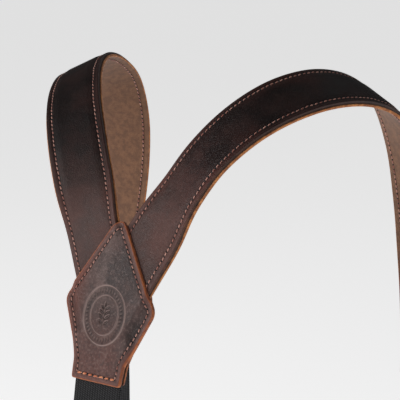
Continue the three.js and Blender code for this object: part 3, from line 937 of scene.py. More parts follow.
@dataclass
class Stitching:
    """A row of saddle stitches with the holes that they dip into."""

    thread: Material
    hole: Material
    pitch: float = 3.3 * MM
    length: float = 2.35 * MM
    thickness: float = 0.8 * MM
    slant: float = math.radians(9)
    hole_width: float = 1.15 * MM
    arch: float = 0.3 * MM

    def _stitch(self, name: str) -> Piece:
        """Models one stitch: a soft spindle along Y whose ends dive into the leather.

        Args:
            name: the piece's name.

        Returns:
            The piece.
        """
        deselect_all()
        bpy.ops.mesh.primitive_uv_sphere_add(segments=8, ring_count=8, radius=0.5)
        piece = named(name)
        piece.data.materials.append(self.thread)
        points = read_points(piece.data)
        x, y, z = points[:, 0], points[:, 2], -points[:, 1]
        along = np.sin(y * math.pi) * 0.5
        girth = 0.55 + 0.45 * np.sqrt(np.clip(1 - (2 * along) ** 2, 0, 1))
        fat = np.sqrt(np.clip(0.25 - y**2, 1e-6, None))
        scale = np.where(fat > 2e-3, 0.5 / fat, 0.0) * girth * np.clip(fat / 0.18, 0, 1)
        out = np.stack([
            x * scale * self.thickness + np.tan(self.slant) * along * self.length,
            along * self.length,
            z * scale * self.thickness + self.arch * (1 - (2 * along) ** 4) - self.arch,
        ], 1)
        write_points(piece.data, out)
        return piece

    def _hole(self, name: str) -> Piece:
        """Models one awl hole: a shallow dimple between two stitches, painted near-black as the hole's shade.

        Args:
            name: the piece's name.

        Returns:
            The piece.
        """
        deselect_all()
        bpy.ops.mesh.primitive_uv_sphere_add(segments=8, ring_count=4, radius=0.5)
        piece = named(name)
        piece.data.materials.append(self.hole)
        points = read_points(piece.data) * np.array([1.0, 1.3, 0.4]) * self.hole_width
        write_points(piece.data, points + np.array([0, self.pitch / 2, -0.1 * MM]))
        return piece

    def row(self, name: str, count: int, pitch: float) -> Piece:
        """Models a straight row along Y that starts at the origin.

        Args:
            name: the piece's name.
            count: how many stitches the row has.
            pitch: distance from stitch to stitch.

        Returns:
            The flat row, ready to be laid on a surface.
        """
        hole = self._hole(name + "_hole")
        stitch = self._stitch(name)
        join_all(stitch, [hole])
        modifier = stitch.modifiers.new("row", "ARRAY")
        modifier.count = count
        modifier.use_relative_offset = False
        modifier.use_constant_offset = True
        modifier.constant_offset_displace = (0.0, pitch, 0.0)
        apply_modifiers(stitch)
        return stitch

    def sew(self, name: str, route: Route, offset: float, start: float, end: float,
            height: Lift, sign: float = 1.0) -> Piece:
        """Sews a row along a route.

        Args:
            name: the piece's name.
            route: the path that the row keeps to.
            offset: how far the row runs to the side of the path.
            start: distance along the route where the row starts.
            end: distance where it ends.
            height: gives the surface's lift at (offset, distance).
            sign: -1 for a row on the route's underside.

        Returns:
            The finished row.
        """
        count = max(1, round((end - start) / self.pitch))
        pitch = (end - start) / count
        piece = self.row(name, count, pitch)
        points = read_points(piece.data)
        distance = start + pitch / 2 + points[:, 1]
        index = np.floor((points[:, 1] + self.pitch / 2) / pitch)
        wobble = 0.12 * MM * np.sin(index * 2.4) * np.sin(index * 1.1 + 0.7)
        across = offset + sign * points[:, 0] + wobble
        lift = height(across, distance) + sign * (points[:, 2] + 0.28 * self.thickness)
        write_points(piece.data, route.lay(across, distance, lift))
        recalculate(piece)
        return shade(piece, 60)


def recalculate(piece: Piece) -> Piece:
    """Turns a closed piece's faces outward."""
    pick(piece)
    bpy.ops.object.mode_set(mode="EDIT")
    bpy.ops.mesh.select_all(action="SELECT")
    bpy.ops.mesh.normals_make_consistent(inside=False)
    bpy.ops.object.mode_set(mode="OBJECT")
    return piece


# --------------------------------------------------------------------------- the yoke's plane


@dataclass
class Yoke:
    """The plane that the patch, its backing and the straps' lower ends lie on."""

    centre: tuple[float, float, float] = (0.0, -96 * MM, -126 * MM)
    slope: float = math.radians(16.3)
    strap_angle: float = math.radians(25.8)
    straps_meet_at: float = 35 * MM
    straps_end_at: float = -27 * MM
    corners: tuple[tuple[float, float, float], ...] = (
        (0.0, 52 * MM, 8 * MM),
        (34.5 * MM, -6 * MM, 9 * MM),
        (19.2 * MM, -41 * MM, 14 * MM),
        (18.5 * MM, -54 * MM, 2 * MM),
    )

    @property
    def up(self) -> Array:
        """Direction up the patch."""
        return np.array([0.0, math.sin(self.slope), math.cos(self.slope)])

    @property
    def out(self) -> Array:
        """Direction that the patch faces."""
        return np.array([0.0, -math.cos(self.slope), math.sin(self.slope)])

    def place(self, x: Array, v: Array, lift: Array) -> Array:
        """Turns patch coordinates into places."""
        side = np.array([1.0, 0.0, 0.0])
        flat = np.outer(x, side) + np.outer(v, self.up) + np.outer(lift, self.out)
        return flat + np.array(self.centre)

    def outline(self, per_corner: int = 14) -> Array:
        """The patch's outline, anticlockwise as seen from behind the wearer, one row per point.

        Args:
            per_corner: points round each corner.

        Returns:
            The outline's points.
        """
        right = [np.array(c) for c in self.corners]
        left = [c * np.array([-1, 1, 1]) for c in right[1:]]
        loop = left[::-1] + right
        points: list[Array] = []
        for i, corner in enumerate(loop):
            at, radius = corner[:2], corner[2]
            before, after = loop[i - 1][:2] - at, loop[(i + 1) % len(loop)][:2] - at
            before, after = before / np.linalg.norm(before), after / np.linalg.norm(after)
            half = math.acos(float(np.clip(before @ after, -1, 1))) / 2
            reach = radius / math.tan(half)
            a, b = at + before * reach, at + after * reach
            for t in np.linspace(0, 1, per_corner):
                points.append((1 - t) ** 2 * a + 2 * t * (1 - t) * at + t * t * b)
        return np.array(points)


def dress_edges(piece: Piece, inset: Array, face: Material, edge: Material) -> None:
    """Gives the cut walls the edge's material and the rest the face's.

    Args:
        piece: the leather piece.
        inset: each vertex's distance from the piece's outline.
        face: the material of its two sides.
        edge: the material of its cut walls.
    """
    piece.data.materials.clear()
    piece.data.materials.append(face)
    piece.data.materials.append(edge)
    on_wall = inset < 0.45 * MM
    corner = np.empty(len(piece.data.loops), dtype=np.int32)
    piece.data.loops.foreach_get("vertex_index", corner)
    start = np.empty(len(piece.data.polygons), dtype=np.int32)
    piece.data.polygons.foreach_get("loop_start", start)
    share = np.add.reduceat(on_wall[corner].astype(float), start)
    total = np.diff(np.append(start, len(corner)))
    piece.data.polygons.foreach_set("material_index", (share >= total - 0.5).astype(np.int32))


def hand_over(piece: Piece, body: str, node: str = "") -> Piece:
    """Sets a finished piece on its body, in place of its CAD node where it has one.

    Args:
        piece: the finished piece.
        body: the body that carries it.
        node: the CAD node that it stands for.

    Returns:
        The piece.
    """
    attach(piece, body)
    if node:
        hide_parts(node)
    return piece


def resample(loop: Array, spacing: float) -> Array:
    """Places points evenly round a closed polygon."""
    closed = np.concatenate([loop, loop[:1]])
    distance = np.concatenate([[0.0], np.cumsum(np.linalg.norm(np.diff(closed, axis=0), axis=1))])
    count = max(8, round(distance[-1] / spacing))
    even = np.linspace(0, distance[-1], count, endpoint=False)
    return np.stack([np.interp(even, distance, closed[:, k]) for k in range(2)], 1)


def edge_distance(points: Array, loop: Array) -> Array:
    """Each flat point's distance to a closed polygon.

    Args:
        points: the points, one row each.
        loop: the closed polygon, one row per point.

    Returns:
        One number for each point.
    """
    best = np.full(len(points), np.inf)
    for a, b in zip(loop, np.roll(loop, -1, axis=0)):
        run = b - a
        t = np.clip(((points - a) @ run) / max(run @ run, 1e-18), 0, 1)
        gap = points - a - t[:, None] * run
        best = np.minimum(best, (gap**2).sum(1))
    return np.sqrt(best)


# --------------------------------------------------------------------------- straps


@dataclass
class Straps:
    """The two shoulder straps: a padded face and a lining, sewn together along both edges."""

    finishes: Finishes
    yoke: Yoke = field(default_factory=Yoke)
    width: float = 38 * MM
    face_thickness: float = 2 * MM
    lining_thickness: float = 1.7 * MM
    clearance: float = 0.3 * MM
    tip_radius: float = 11 * MM
    leather_end: float = -230 * MM
    webbing_overlap: float = 28 * MM
    seam_inset: float = 4 * MM
    roll: float = 0.9 * MM
    puff: float = 0.55 * MM
    groove: float = 0.45 * MM
    lining_reveal: float = 0.95 * MM
    # Painted shade: the strap face darkens over the shoulder, starting these distances past the patch (left,
    # right), with the strength below.
    shadow_from: tuple[float, float] = (8 * MM, 40 * MM)
    shoulder_shade: float = 0.72
    ring_step: float = 1.3 * MM
    run: float = 60 * MM
    free: float = 16 * MM
    stations: tuple[tuple[Spot, Spot], ...] = (
        ((36.7, -76.6, -61.6), (-0.28, -0.86, 0.43)),
        ((50.5, -65.7, -37.4), (-0.19, -0.78, 0.6)),
        ((66.1, -49.0, -18.0), (0.02, -0.65, 0.76)),
        ((81.5, -26.9, -5.2), (0.25, -0.46, 0.85)),
        ((95.0, -0.7, -0.3), (0.4, -0.18, 0.9)),
        ((104.6, 27.2, -4.7), (0.46, 0.16, 0.87)),
        ((110.5, 52.0, -18.5), (0.46, 0.44, 0.77)),
        ((115.5, 69.0, -46.0), (0.4, 0.75, 0.53)),
        ((120.5, 77.0, -80.0), (0.28, 0.92, 0.27)),
        ((126.0, 79.0, -118.0), (0.15, 0.98, 0.08)),
        ((131.5, 77.3, -156.0), (0.04, 1.0, 0.0)),
        ((134.0, 76.0, -192.0), (0.0, 1.0, 0.0)),
    )

    @property
    def half(self) -> float:
        """Half of a strap's width."""
        return self.width / 2

    @property
    def direction(self) -> tuple[float, float]:
        """The way a strap runs over the yoke, as (across, up)."""
        return math.sin(self.yoke.strap_angle), math.cos(self.yoke.strap_angle)

    @property
    def middle(self) -> tuple[float, float]:
        """A point on the strap's middle line, level with where the inner edges meet."""
        sine, cosine = self.direction
        return self.half * cosine, self.yoke.straps_meet_at - self.half * sine

    def route(self, side: Side) -> Route:
        """The middle line of one strap, from the yoke over the shoulder to the front tip.

        Args:
            side: which strap.

        Returns:
            The route.
        """
        (sine, cosine), (x, v) = self.direction, self.middle
        flat = [(x + d * sine, v + d * cosine) for d in (-self.run, -self.run / 2, self.free)]
        laid = self.yoke.place(*(np.array(c) for c in zip(*flat)), np.zeros(3))
        worn = np.array([at for at, _ in self.stations]) * MM
        tip = np.array([[worn[-1][0], worn[-1][1], self.leather_end]])
        looks = [self.yoke.out] * 3 + [np.array(out) for _, out in self.stations]
        looks.append(np.array([0.0, 1.0, 0.0]))
        mirror = np.array([side.value, 1.0, 1.0])
        points = np.concatenate([laid, worn, tip]) * mirror
        return Route.through(points, np.array(looks) * mirror, soften=7 * MM)

    def start(self, across: Array) -> Array:
        """Distance along the route where a strap starts, at an offset outward from its middle."""
        (sine, cosine), (x, v) = self.direction, self.middle
        at_centre = (self.clearance / 2 - (x + across * cosine)) / sine
        at_cut = (self.yoke.straps_end_at - (v - across * sine)) / cosine
        return self.run + np.maximum(at_centre, at_cut)

    def columns(self, half: float, fine: bool) -> Array:
        """Offsets of the lengthwise lines of vertices, closest together at edges and seams.

        Args:
            half: half of the piece's width.
            fine: whether it has the finer spacing.

        Returns:
            The offsets, from left to right.
        """
        seam = self.half - self.seam_inset
        even = np.linspace(0, seam - 1.6 * MM, 14 if fine else 7)
        near = seam + np.linspace(-1.3, 1.3, 9 if fine else 5) * MM
        band = np.linspace(seam + 1.7 * MM, half - self.roll - 0.2 * MM, 4 if fine else 3)
        edge = half - self.roll * (1 - np.sin(np.linspace(0, math.pi / 2, 6 if fine else 4)))
        right = np.concatenate([even, near, band, edge])
        return np.concatenate([-right[:0:-1], right])

    def profile(self, half: float, low: float, high: float) -> list[tuple[float, float]]:
        """The section's closed outline, over the top and back under the bottom."""
        top = [(float(x), high) for x in self.columns(half, True)]
        bottom = [(float(x), low) for x in self.columns(half, False)[::-1]]
        walls = [(half, high - 0.45 * (high - low)), (-half, high - 0.45 * (high - low))]
        return top + [walls[0]] + bottom + [walls[1]]

    def tip_half(self, from_tip: Array, half: float) -> Array:
        """Half width near the rounded tip."""
        inside = np.clip(self.tip_radius - from_tip, 0, self.tip_radius)
        return half - self.tip_radius + np.sqrt(self.tip_radius**2 - inside**2)

    def inset(self, across: Array, from_tip: Array, half: float) -> Array:
        """Each point's distance from the strap's outline."""
        u = np.abs(across)
        straight = np.minimum(half - u, from_tip)
        r = self.tip_radius
        in_corner = (u > half - r) & (from_tip < r)
        rounded = r - np.hypot(u - half + r, r - from_tip)
        return np.where(in_corner, rounded, straight)

    def face_lift(self, route: Route, side: Side) -> Lift:
        """The height of the face's upper surface at (outward offset, distance).

        Args:
            route: the strap's route.
            side: which strap.

        Returns:
            A function of (offset, distance).
        """

        def lift(across: Array, distance: Array) -> Array:
            """Heights of the face over the route."""
            inset = self.inset(across, route.length - distance, self.half)
            puff = self.puff * smoothstep(self.seam_inset + 0.3 * MM, self.seam_inset + 5 * MM, inset)
            groove = self.groove * bell(inset - self.seam_inset, 0.85 * MM)
            wave = 0.14 * MM * ripple(distance, across, 3.0 + side.value)
            wave = wave * smoothstep(0, 5 * MM, inset) * smoothstep(self.run, self.run + 40 * MM, distance)
            under_patch = smoothstep(self.run + 20 * MM, self.run - 10 * MM, distance)
            return self.face_thickness + (puff - groove) * (1 - under_patch) + wave

        return lift

    def _shape(self, piece: Piece, side: Side, route: Route, half: float, low: float, high: float,
               length: float, has_tip: bool) -> tuple[Array, Array, Array]:
        """Lays a flat blank on the strap's route.

        Args:
            piece: the blank, from Y 0 to Y length.
            side: which strap it belongs to.
            route: that strap's route.
            half: half of its width.
            low: its underside's lift.
            high: its upper side's lift.
            length: distance at which it ends.
            has_tip: whether it ends in the rounded tip.

        Returns:
            Offset, distance and inset of every vertex.
        """
        points = read_points(piece.data)
        across, distance, lift = points.T
        if has_tip:
            zone = 1.6 * self.tip_radius
            from_tip = route.length - distance
            from_tip = np.where(from_tip < zone, zone * (from_tip / zone) ** 1.9, from_tip)
            distance = route.length - from_tip
            across = across * self.tip_half(from_tip, half) / half
        first = self.run + 2 * MM
        begin = self.start(across)
        distance = np.where(distance < first, begin + distance / first * (first - begin), distance)
        to_end = route.length - distance if has_tip else length - distance + self.tip_radius
        inset = self.inset(across, to_end, half) if has_tip else half - np.abs(across)
        upper = lift > high - 0.05 * MM
        surface = self.face_lift(route, side)(across, distance) if has_tip else np.full_like(lift, high)
        lift = np.where(upper, surface - rolled_fall(inset, self.roll) * (0.85 if has_tip else 0.3), lift)
        if not has_tip:
            seam = 0.2 * self.groove * bell(inset - self.seam_inset, 0.9 * MM)
            lift = np.where(lift < low + 0.05 * MM, low + 0.4 * rolled_fall(inset, self.roll) + seam, lift)
        write_points(piece.data, route.lay(-side.value * across, distance, lift))
        recalculate(piece)
        write_uv(piece.data, across, distance)
        return across, distance, inset

    def face(self, side: Side, route: Route) -> Piece:
        """Builds one strap's outer leather.

        Args:
            side: which strap.
            route: the strap's route.

        Returns:
            The piece.
        """
        name = f"strap_{side.name.lower()}_face"
        low, high, length = 0.03 * MM, self.face_thickness, route.length
        piece = sweep(name + "_leather", self.profile(self.half, low, high), length, self.ring_step)
        across, distance, inset = self._shape(piece, side, route, self.half, low, high, length, True)
        outside = smoothstep(self.seam_inset + 0.2 * MM, self.seam_inset - 0.8 * MM, inset)
        seam = bell(inset - self.seam_inset, 0.8 * MM)
        burn = smoothstep(0.9 * MM, 0.0, inset)
        write_value(piece.data, "rim", 0.5 * outside * (0.7 + 0.3 * ripple(distance, across, 8.0)))
        write_value(piece.data, "raw", 0.35 * burn)
        # Painted shade over the shoulder: the face darkens from a point a little past the patch, set per
        # side, and fades out again down the front.
        worn = self.run + self.shadow_from[0 if side is Side.LEFT else 1]
        fade = smoothstep(worn + 230 * MM, worn + 150 * MM, distance)
        shoulder = self.shoulder_shade * smoothstep(worn, worn + 75 * MM, distance) * fade
        # Painted highlight: the strap face is lightened near the patch, as a sheen.
        low_sheen = smoothstep(self.run + 75 * MM, self.run + 15 * MM, distance)
        write_value(piece.data, "tone", np.clip(0.25 * burn + 0.4 * seam + shoulder, 0, 0.85))
        rub = 0.1 * bell(inset - 1.3 * MM, 0.6 * MM)
        write_value(piece.data, "wear", np.clip(rub + 0.3 * low_sheen, 0, 0.6))
        dress_edges(piece, inset, self.finishes.strap, self.finishes.edge)
        return hand_over(shade(piece, 50), "yoke_and_straps", name)

    def lining(self, side: Side, route: Route) -> Piece:
        """Builds one strap's lining, a little wider than the face so that its edge shows.

        Args:
            side: which strap.
            route: the strap's route.

        Returns:
            The piece.
        """
        name = f"strap_{side.name.lower()}_lining"
        half = self.half + self.lining_reveal
        length = route.length - self.webbing_overlap - self.clearance
        low, high = -self.clearance - self.lining_thickness, -0.03 * MM
        piece = sweep(name + "_leather", self.profile(half, low, high), length, 2 * self.ring_step)
        _, _, inset = self._shape(piece, side, route, half, low, high, length, False)
        write_value(piece.data, "tone", 0.5 * bell(inset - self.seam_inset, 0.8 * MM))
        dress_edges(piece, inset, self.finishes.lining, self.finishes.lining_edge)
        return hand_over(shade(piece, 50), "yoke_and_straps", name)

    def seams(self, side: Side, route: Route) -> list[Piece]:
        """Sews both edges on the face and on the lining, and across the front tip.

        Args:
            side: which strap.
            route: the strap's route.

        Returns:
            The finished pieces.
        """
        stitching = Stitching(self.finishes.thread, self.finishes.hole)
        label = side.name.lower()
        begin, end = self.run + 1 * MM, route.length - self.tip_radius
        outer = self.half - self.seam_inset
        height = self.face_lift(route, side)
        under = -self.clearance - self.lining_thickness
        rows = []
        for edge, offset in (("outer", outer), ("inner", -outer)):
            across = -side.value * offset
            start = begin if edge == "inner" else begin - 24 * MM
            rows.append(stitching.sew(
                f"strap_{label}_{edge}_seam", route, across, start, end,
                lambda u, d, s=side.value: height(-s * u, d)))
            stop = end - self.webbing_overlap + 8 * MM
            rows.append(stitching.sew(
                f"strap_{label}_{edge}_lining_seam", route, across, start, stop,
                lambda u, d: np.full_like(u, under), sign=-1.0))
        rows += self._tip_seams(label, side, route, stitching, height)
        return [hand_over(row, "yoke_and_straps") for row in rows]

    def _tip_seams(self, label: str, side: Side, route: Route, stitching: Stitching,
                   height: Lift) -> list[Piece]:
        """Sews round the front tip, and the cross rows that hold the webbing.

        Args:
            label: the side's name.
            side: which strap.
            route: the strap's route.
            stitching: the stitches to use.
            height: the face's surface height.

        Returns:
            The finished pieces.
        """
        inner = self.tip_radius - self.seam_inset
        corner = self.half - self.tip_radius
        bend = np.linspace(0, math.pi / 2, 12)
        turn_at = route.length - self.tip_radius
        right = np.stack([corner + inner * np.cos(bend), turn_at + inner * np.sin(bend)], 1)
        path = np.concatenate([right, right[::-1] * np.array([-1, 1])])
        lines = [("tip", path)]
        for name, down in (("upper_cross", 3 * MM), ("lower_cross", 7 * MM)):
            span = np.linspace(-1, 1, 24) * (self.half - self.seam_inset - 2 * MM)
            at = route.length - self.webbing_overlap + down
            lines.append((name, np.stack([span, np.full(24, at)], 1)))
        rows = []
        for name, flat in lines:
            across = -side.value * flat[:, 0]
            at = route.lay(across, flat[:, 1], height(flat[:, 0], flat[:, 1]))
            _, out, _ = route.frame(flat[:, 1])
            line = Route.through(at, out, samples=400)
            rows.append(stitching.sew(f"strap_{label}_{name}_seam", line, 0.0, 0.0, line.length,
                                      lambda u, d: np.zeros_like(u)))
        return rows

    def build(self) -> list[Piece]:
        """Builds both straps and returns their pieces."""
        pieces = []
        for side in Side:
            route = self.route(side)
            pieces += [self.face(side, route), self.lining(side, route), *self.seams(side, route)]
        return pieces


# --------------------------------------------------------------------------- back patch


@dataclass
class Emblem:
    """A plain debossed mark: two ovals, a ring of beads and a leafy sprig."""

    centre: tuple[float, float] = (-0.5 * MM, -12.7 * MM)
    outer: tuple[float, float] = (15.6 * MM, 18.6 * MM)
    inner: tuple[float, float] = (10.4 * MM, 12.4 * MM)
    line: float = 0.36 * MM
    depth: float = 0.38 * MM
    beads: int = 40
    leaves: int = 4

    def radius(self, angle: Array, size: tuple[float, float]) -> Array:
        """An oval's radius in each direction."""
        return 1 / np.hypot(np.cos(angle) / size[0], np.sin(angle) / size[1])

    def inside(self, x: Array, v: Array) -> Array:
        """1 inside the outer oval, 0 outside it."""
        dx, dv = x - self.centre[0], v - self.centre[1]
        return smoothstep(1.02, 0.98, np.hypot(dx / self.outer[0], dv / self.outer[1]))

    def lines(self, x: Array, v: Array) -> Array:
        """1 on the two ovals' lines."""
        dx, dv = x - self.centre[0], v - self.centre[1]
        r, angle = np.hypot(dx, dv), np.arctan2(dv, dx)
        outer, inner = self.radius(angle, self.outer), self.radius(angle, self.inner)
        return np.clip(bell(r - outer, self.line) + 0.8 * bell(r - inner, self.line * 0.8), 0, 1)

    def press(self, x: Array, v: Array) -> Array:
        """How deeply each point is pressed, from 0 to 1.

        Args:
            x: offsets across the patch.
            v: offsets up the patch.

        Returns:
            One number for each point.
        """
        dx, dv = x - self.centre[0], v - self.centre[1]
        r, angle = np.hypot(dx, dv), np.arctan2(dv, dx)
        outer, inner = self.radius(angle, self.outer), self.radius(angle, self.inner)
        mark = bell(r - outer, self.line) + 0.9 * bell(r - inner, self.line * 0.9)
        band = (r - inner) / (outer - inner)
        turn = np.arctan2(dv / self.outer[1], dx / self.outer[0]) / (2 * math.pi) * self.beads
        bead = bell(np.abs(turn - np.round(turn)), 0.24) * bell(band - 0.5, 0.17)
        ground = 0.3 * smoothstep(0.1, 0.2, band) * smoothstep(0.9, 0.8, band)
        return np.clip(mark + 0.8 * bead + ground + self._sprig(dx, dv) * (r < inner), 0, 1)

    def _sprig(self, x: Array, v: Array) -> Array:
        """A stem with pairs of leaves and one at its top.

        Args:
            x: offsets across the patch.
            v: offsets up the patch.

        Returns:
            One number for each point.
        """
        reach = 8.6 * MM
        stem = bell(x - 0.5 * MM * np.sin(v / (5 * MM)), 0.3 * MM)
        total = 0.9 * stem * smoothstep(reach * 0.75, reach * 0.6, np.abs(v))
        leaves = [(0.0, reach * 0.62, math.pi / 2, 3.4 * MM)]
        for k in range(self.leaves):
            height = reach * (-0.62 + 0.36 * k)
            for side in (-1, 1):
                length = (5.4 - 0.7 * abs(k - 1)) * MM
                leaves.append((side * 0.3 * MM, height, math.pi / 2 - side * 0.92, length))
        for x0, v0, turn, length in leaves:
            along = ((x - x0) * math.cos(turn) + (v - v0) * math.sin(turn)) / length
            across = (-(x - x0) * math.sin(turn) + (v - v0) * math.cos(turn)) / (0.24 * length)
            blade = 4 * np.clip(along, 0, 1) * (1 - np.clip(along, 0, 1))
            body = smoothstep(1.0, 0.65, np.abs(across) / np.maximum(blade, 1e-3)) * (along > 0) * (along < 1)
            vein = 0.75 * bell(across, 0.12) * (along < 0.85)
            total = np.maximum(total, body * (1 - vein))
        return total


@dataclass
class Patch:
    """The kite-shaped back patch and its backing, which clasp the straps and the webbing."""

    finishes: Finishes
    straps: Straps
    emblem: Emblem = field(default_factory=Emblem)
    patch_low: float = 2.3 * MM
    patch_high: float = 4.3 * MM
    backing_low: float = -4.0 * MM
    backing_high: float = -2.3 * MM
    webbing_half: float = 17.5 * MM
    backing_inset: float = 1.3 * MM
    seam_inset: float = 4 * MM
    roll: float = 0.75 * MM
    sink: float = 2.15 * MM
    sectors: int = 400
    border: float = 8 * MM

    @property
    def yoke(self) -> Yoke:
        """The plane that it lies on."""
        return self.straps.yoke

    def sag(self, x: Array, v: Array) -> Array:
        """How far the patch sinks where nothing lies beneath it.

        Args:
            x: offsets across the patch.
            v: offsets up the patch.

        Returns:
            One number for each point.
        """
        (sine, cosine), (mx, mv) = self.straps.direction, self.straps.middle
        beyond = np.full_like(x, np.inf)
        inside = np.full_like(x, np.inf)
        for side in (-1, 1):
            offset = (side * x - mx) * cosine - (v - mv) * sine
            beyond = np.where(side * x > 0, offset - self.straps.half, beyond)
            inside = np.where(side * x > 0, -offset - self.straps.half, inside)
        above_web = v - self.yoke.straps_end_at
        beside = np.abs(x) - self.webbing_half
        off_web = np.where(above_web > 0, np.hypot(np.clip(beside, 0, None), above_web), beside)
        open_side = smoothstep(-0.6 * MM, 5.5 * MM, beyond) * smoothstep(-0.5 * MM, 7 * MM, off_web)
        open_top = smoothstep(-0.5 * MM, 3.5 * MM, inside)
        return self.sink * np.maximum(open_side, open_top * 0.85)

    def face_lift(self, x: Array, v: Array, inset: Array) -> Array:
        """The lift of the patch's outer surface."""
        puff = 0.35 * MM * smoothstep(self.seam_inset, self.seam_inset + 6 * MM, inset)
        groove = 0.42 * MM * bell(inset - self.seam_inset, 0.85 * MM)
        ridge = 0.22 * MM * self._ridge(x, v)
        wave = 0.12 * MM * ripple(v, x, 5.0) * smoothstep(0, 6 * MM, inset)
        pressed = self.emblem.depth * self.emblem.press(x, v)
        return self.patch_high + puff - groove - self.sag(x, v) + ridge + wave - pressed

    def _ridge(self, x: Array, v: Array) -> Array:
        """A faint ridge where the straps' outer edges press through."""
        (sine, cosine), (mx, mv) = self.straps.direction, self.straps.middle
        offset = (np.abs(x) - mx) * cosine - (v - mv) * sine - self.straps.half
        return bell(offset + 0.8 * MM, 1.2 * MM) * smoothstep(34 * MM, 26 * MM, np.abs(x))

    def _blank(self, name: str, rings: Sequence[tuple[float, float]]) -> Piece:
        """Spins a closed generatrix of (ring number, level) points into a round blank.

        Args:
            name: the piece's name.
            rings: the generatrix's corners in order.

        Returns:
            The piece.
        """
        deselect_all()
        bpy.ops.mesh.primitive_circle_add(vertices=len(rings), fill_type="NOTHING")
        piece = named(name)
        points = np.array([(r, 0.0, z) for r, z in rings])
        write_points(piece.data, points)
        pick(piece)
        bpy.ops.object.mode_set(mode="EDIT")
        bpy.ops.mesh.select_mode(type="EDGE")
        bpy.ops.mesh.select_all(action="DESELECT")
        bpy.ops.object.mode_set(mode="OBJECT")
        for edge in piece.data.edges:
            a, b = (points[i] for i in edge.vertices)
            edge.select = bool(abs(a[0]) < 1e-9 and abs(b[0]) < 1e-9)
        bpy.ops.object.mode_set(mode="EDIT")
        bpy.ops.mesh.delete(type="EDGE_FACE")
        bpy.ops.mesh.select_all(action="SELECT")
        bpy.ops.mesh.spin(steps=self.sectors, angle=2 * math.pi, center=(0, 0, 0), axis=(0, 0, 1))
        bpy.ops.mesh.select_all(action="SELECT")
        bpy.ops.mesh.remove_doubles(threshold=1e-5)
        bpy.ops.mesh.normals_make_consistent(inside=False)
        bpy.ops.object.mode_set(mode="OBJECT")
        return piece

    def _spread(self, piece: Piece, loop: Array) -> tuple[Array, Array, Array]:
        """Spreads a round blank to the patch's outline: rings 0-1 fill the outer oval, 1-2 reach
        the border, and 2-3 cross it. Returns x, v and level.

        Args:
            piece: the round blank.
            loop: the outline to fill.

        Returns:
            Across, up and level of each vertex.
        """
        points = read_points(piece.data)
        ring, angle = np.hypot(points[:, 0], points[:, 1]), np.arctan2(points[:, 1], points[:, 0])
        cx, cv = self.emblem.centre
        oval = self.emblem.radius(angle, self.emblem.outer) * 1.06
        bearing = np.arctan2(loop[:, 1] - cv, loop[:, 0] - cx)
        order = np.argsort(bearing)
        size = np.hypot(loop[:, 0] - cx, loop[:, 1] - cv)[order]
        rim = np.interp(angle, bearing[order], size, period=2 * math.pi)
        radius = np.where(ring <= 1, ring * oval, 0.0)
        radius = np.where((ring > 1) & (ring <= 2), oval + (ring - 1) * (rim - self.border - oval), radius)
        radius = np.where(ring > 2, rim - self.border * (3 - ring), radius)
        radius = np.clip(radius, 0, None)
        return cx + radius * np.cos(angle), cv + radius * np.sin(angle), points[:, 2]

    def _rings(self, fine: bool) -> list[tuple[float, float]]:
        """The generatrix: over the top from the middle, round the rim and back underneath."""
        inner = np.linspace(0, 1, 50 if fine else 10)
        middle = np.linspace(1, 2, 18 if fine else 10)[1:]
        across = 3 - np.linspace(1, 0, 24 if fine else 10)[1:] ** 1.3
        top = np.concatenate([inner, middle, across])
        bottom = np.concatenate([np.linspace(0, 2, 12), np.linspace(2, 3, 8)[1:]])[::-1]
        return [(float(r), 1.0) for r in top] + [(3.0, 0.66), (3.0, 0.33)] + [(float(r), 0.0) for r in bottom]

    def layer(self, name: str, node: str, slot: str, fine: bool, lift: Callable[..., Array]) -> Piece:
        """Builds the patch or its backing.

        Args:
            name: the piece's name.
            node: the CAD node that it stands for.
            slot: the record's material slot; not used.
            fine: whether it carries the emblem.
            lift: gives the lift at (x, v, inset, level).

        Returns:
            The finished piece.
        """
        loop = resample(self.yoke.outline(), 0.35 * MM)
        if not fine:
            loop = self.drawn_in(loop, self.backing_inset)
        piece = self._blank(name, self._rings(fine))
        x, v, level = self._spread(piece, loop)
        inset = edge_distance(np.stack([x, v], 1), loop[::2])
        write_points(piece.data, self.yoke.place(x, v, lift(x, v, inset, level)))
        recalculate(piece)
        write_uv(piece.data, x, v)
        burn = smoothstep(1.0 * MM, 0.1 * MM, inset)
        seam = bell(inset - self.seam_inset, 0.8 * MM)
        warm = smoothstep(self.seam_inset + 0.5 * MM, 0.5 * MM, inset)
        left_red = 0.6 * smoothstep(-13 * MM, -26 * MM, x) * smoothstep(-36 * MM, -14 * MM, v)
        press = self.emblem.press(x, v) * (level > 0.9) * fine
        # Painted shade: the patch darkens in the crease where it sinks beside the straps.
        crease_shade = smoothstep(0.3, 0.8, self.sag(x, v) / self.sink) * 0.28
        oval = self.emblem.inside(x, v) * (level > 0.9) * fine
        lines = self.emblem.lines(x, v) * (level > 0.9) * fine
        write_value(piece.data, "rim", np.clip(0.6 * warm + left_red, 0, 0.9))
        write_value(piece.data, "raw", np.clip(0.95 * burn, 0, 1))
        dark = 0.35 * seam + 0.5 * press * (1 - lines) + 0.05 * oval + crease_shade * (inset > 2 * MM)
        write_value(piece.data, "tone", np.clip(dark, 0, 0.8))
        # Painted highlight: the rim on one side of each pressed mark, and the two oval lines, are lightened
        # as if they caught the light.
        beside = self.emblem.press(x + 0.45 * MM, v - 0.3 * MM) - self.emblem.press(x, v)
        raised = np.clip(beside, 0, 1) * (level > 0.9) * fine
        wear = 0.12 * bell(inset - 1.6 * MM, 0.7 * MM) + 0.8 * raised + lines
        write_value(piece.data, "wear", np.clip(wear, 0, 1))
        surface = self.finishes.patch if fine else self.finishes.lining
        dress_edges(piece, inset, surface, self.finishes.patch_edge)
        return hand_over(shade(piece, 50), "yoke_and_straps", node)

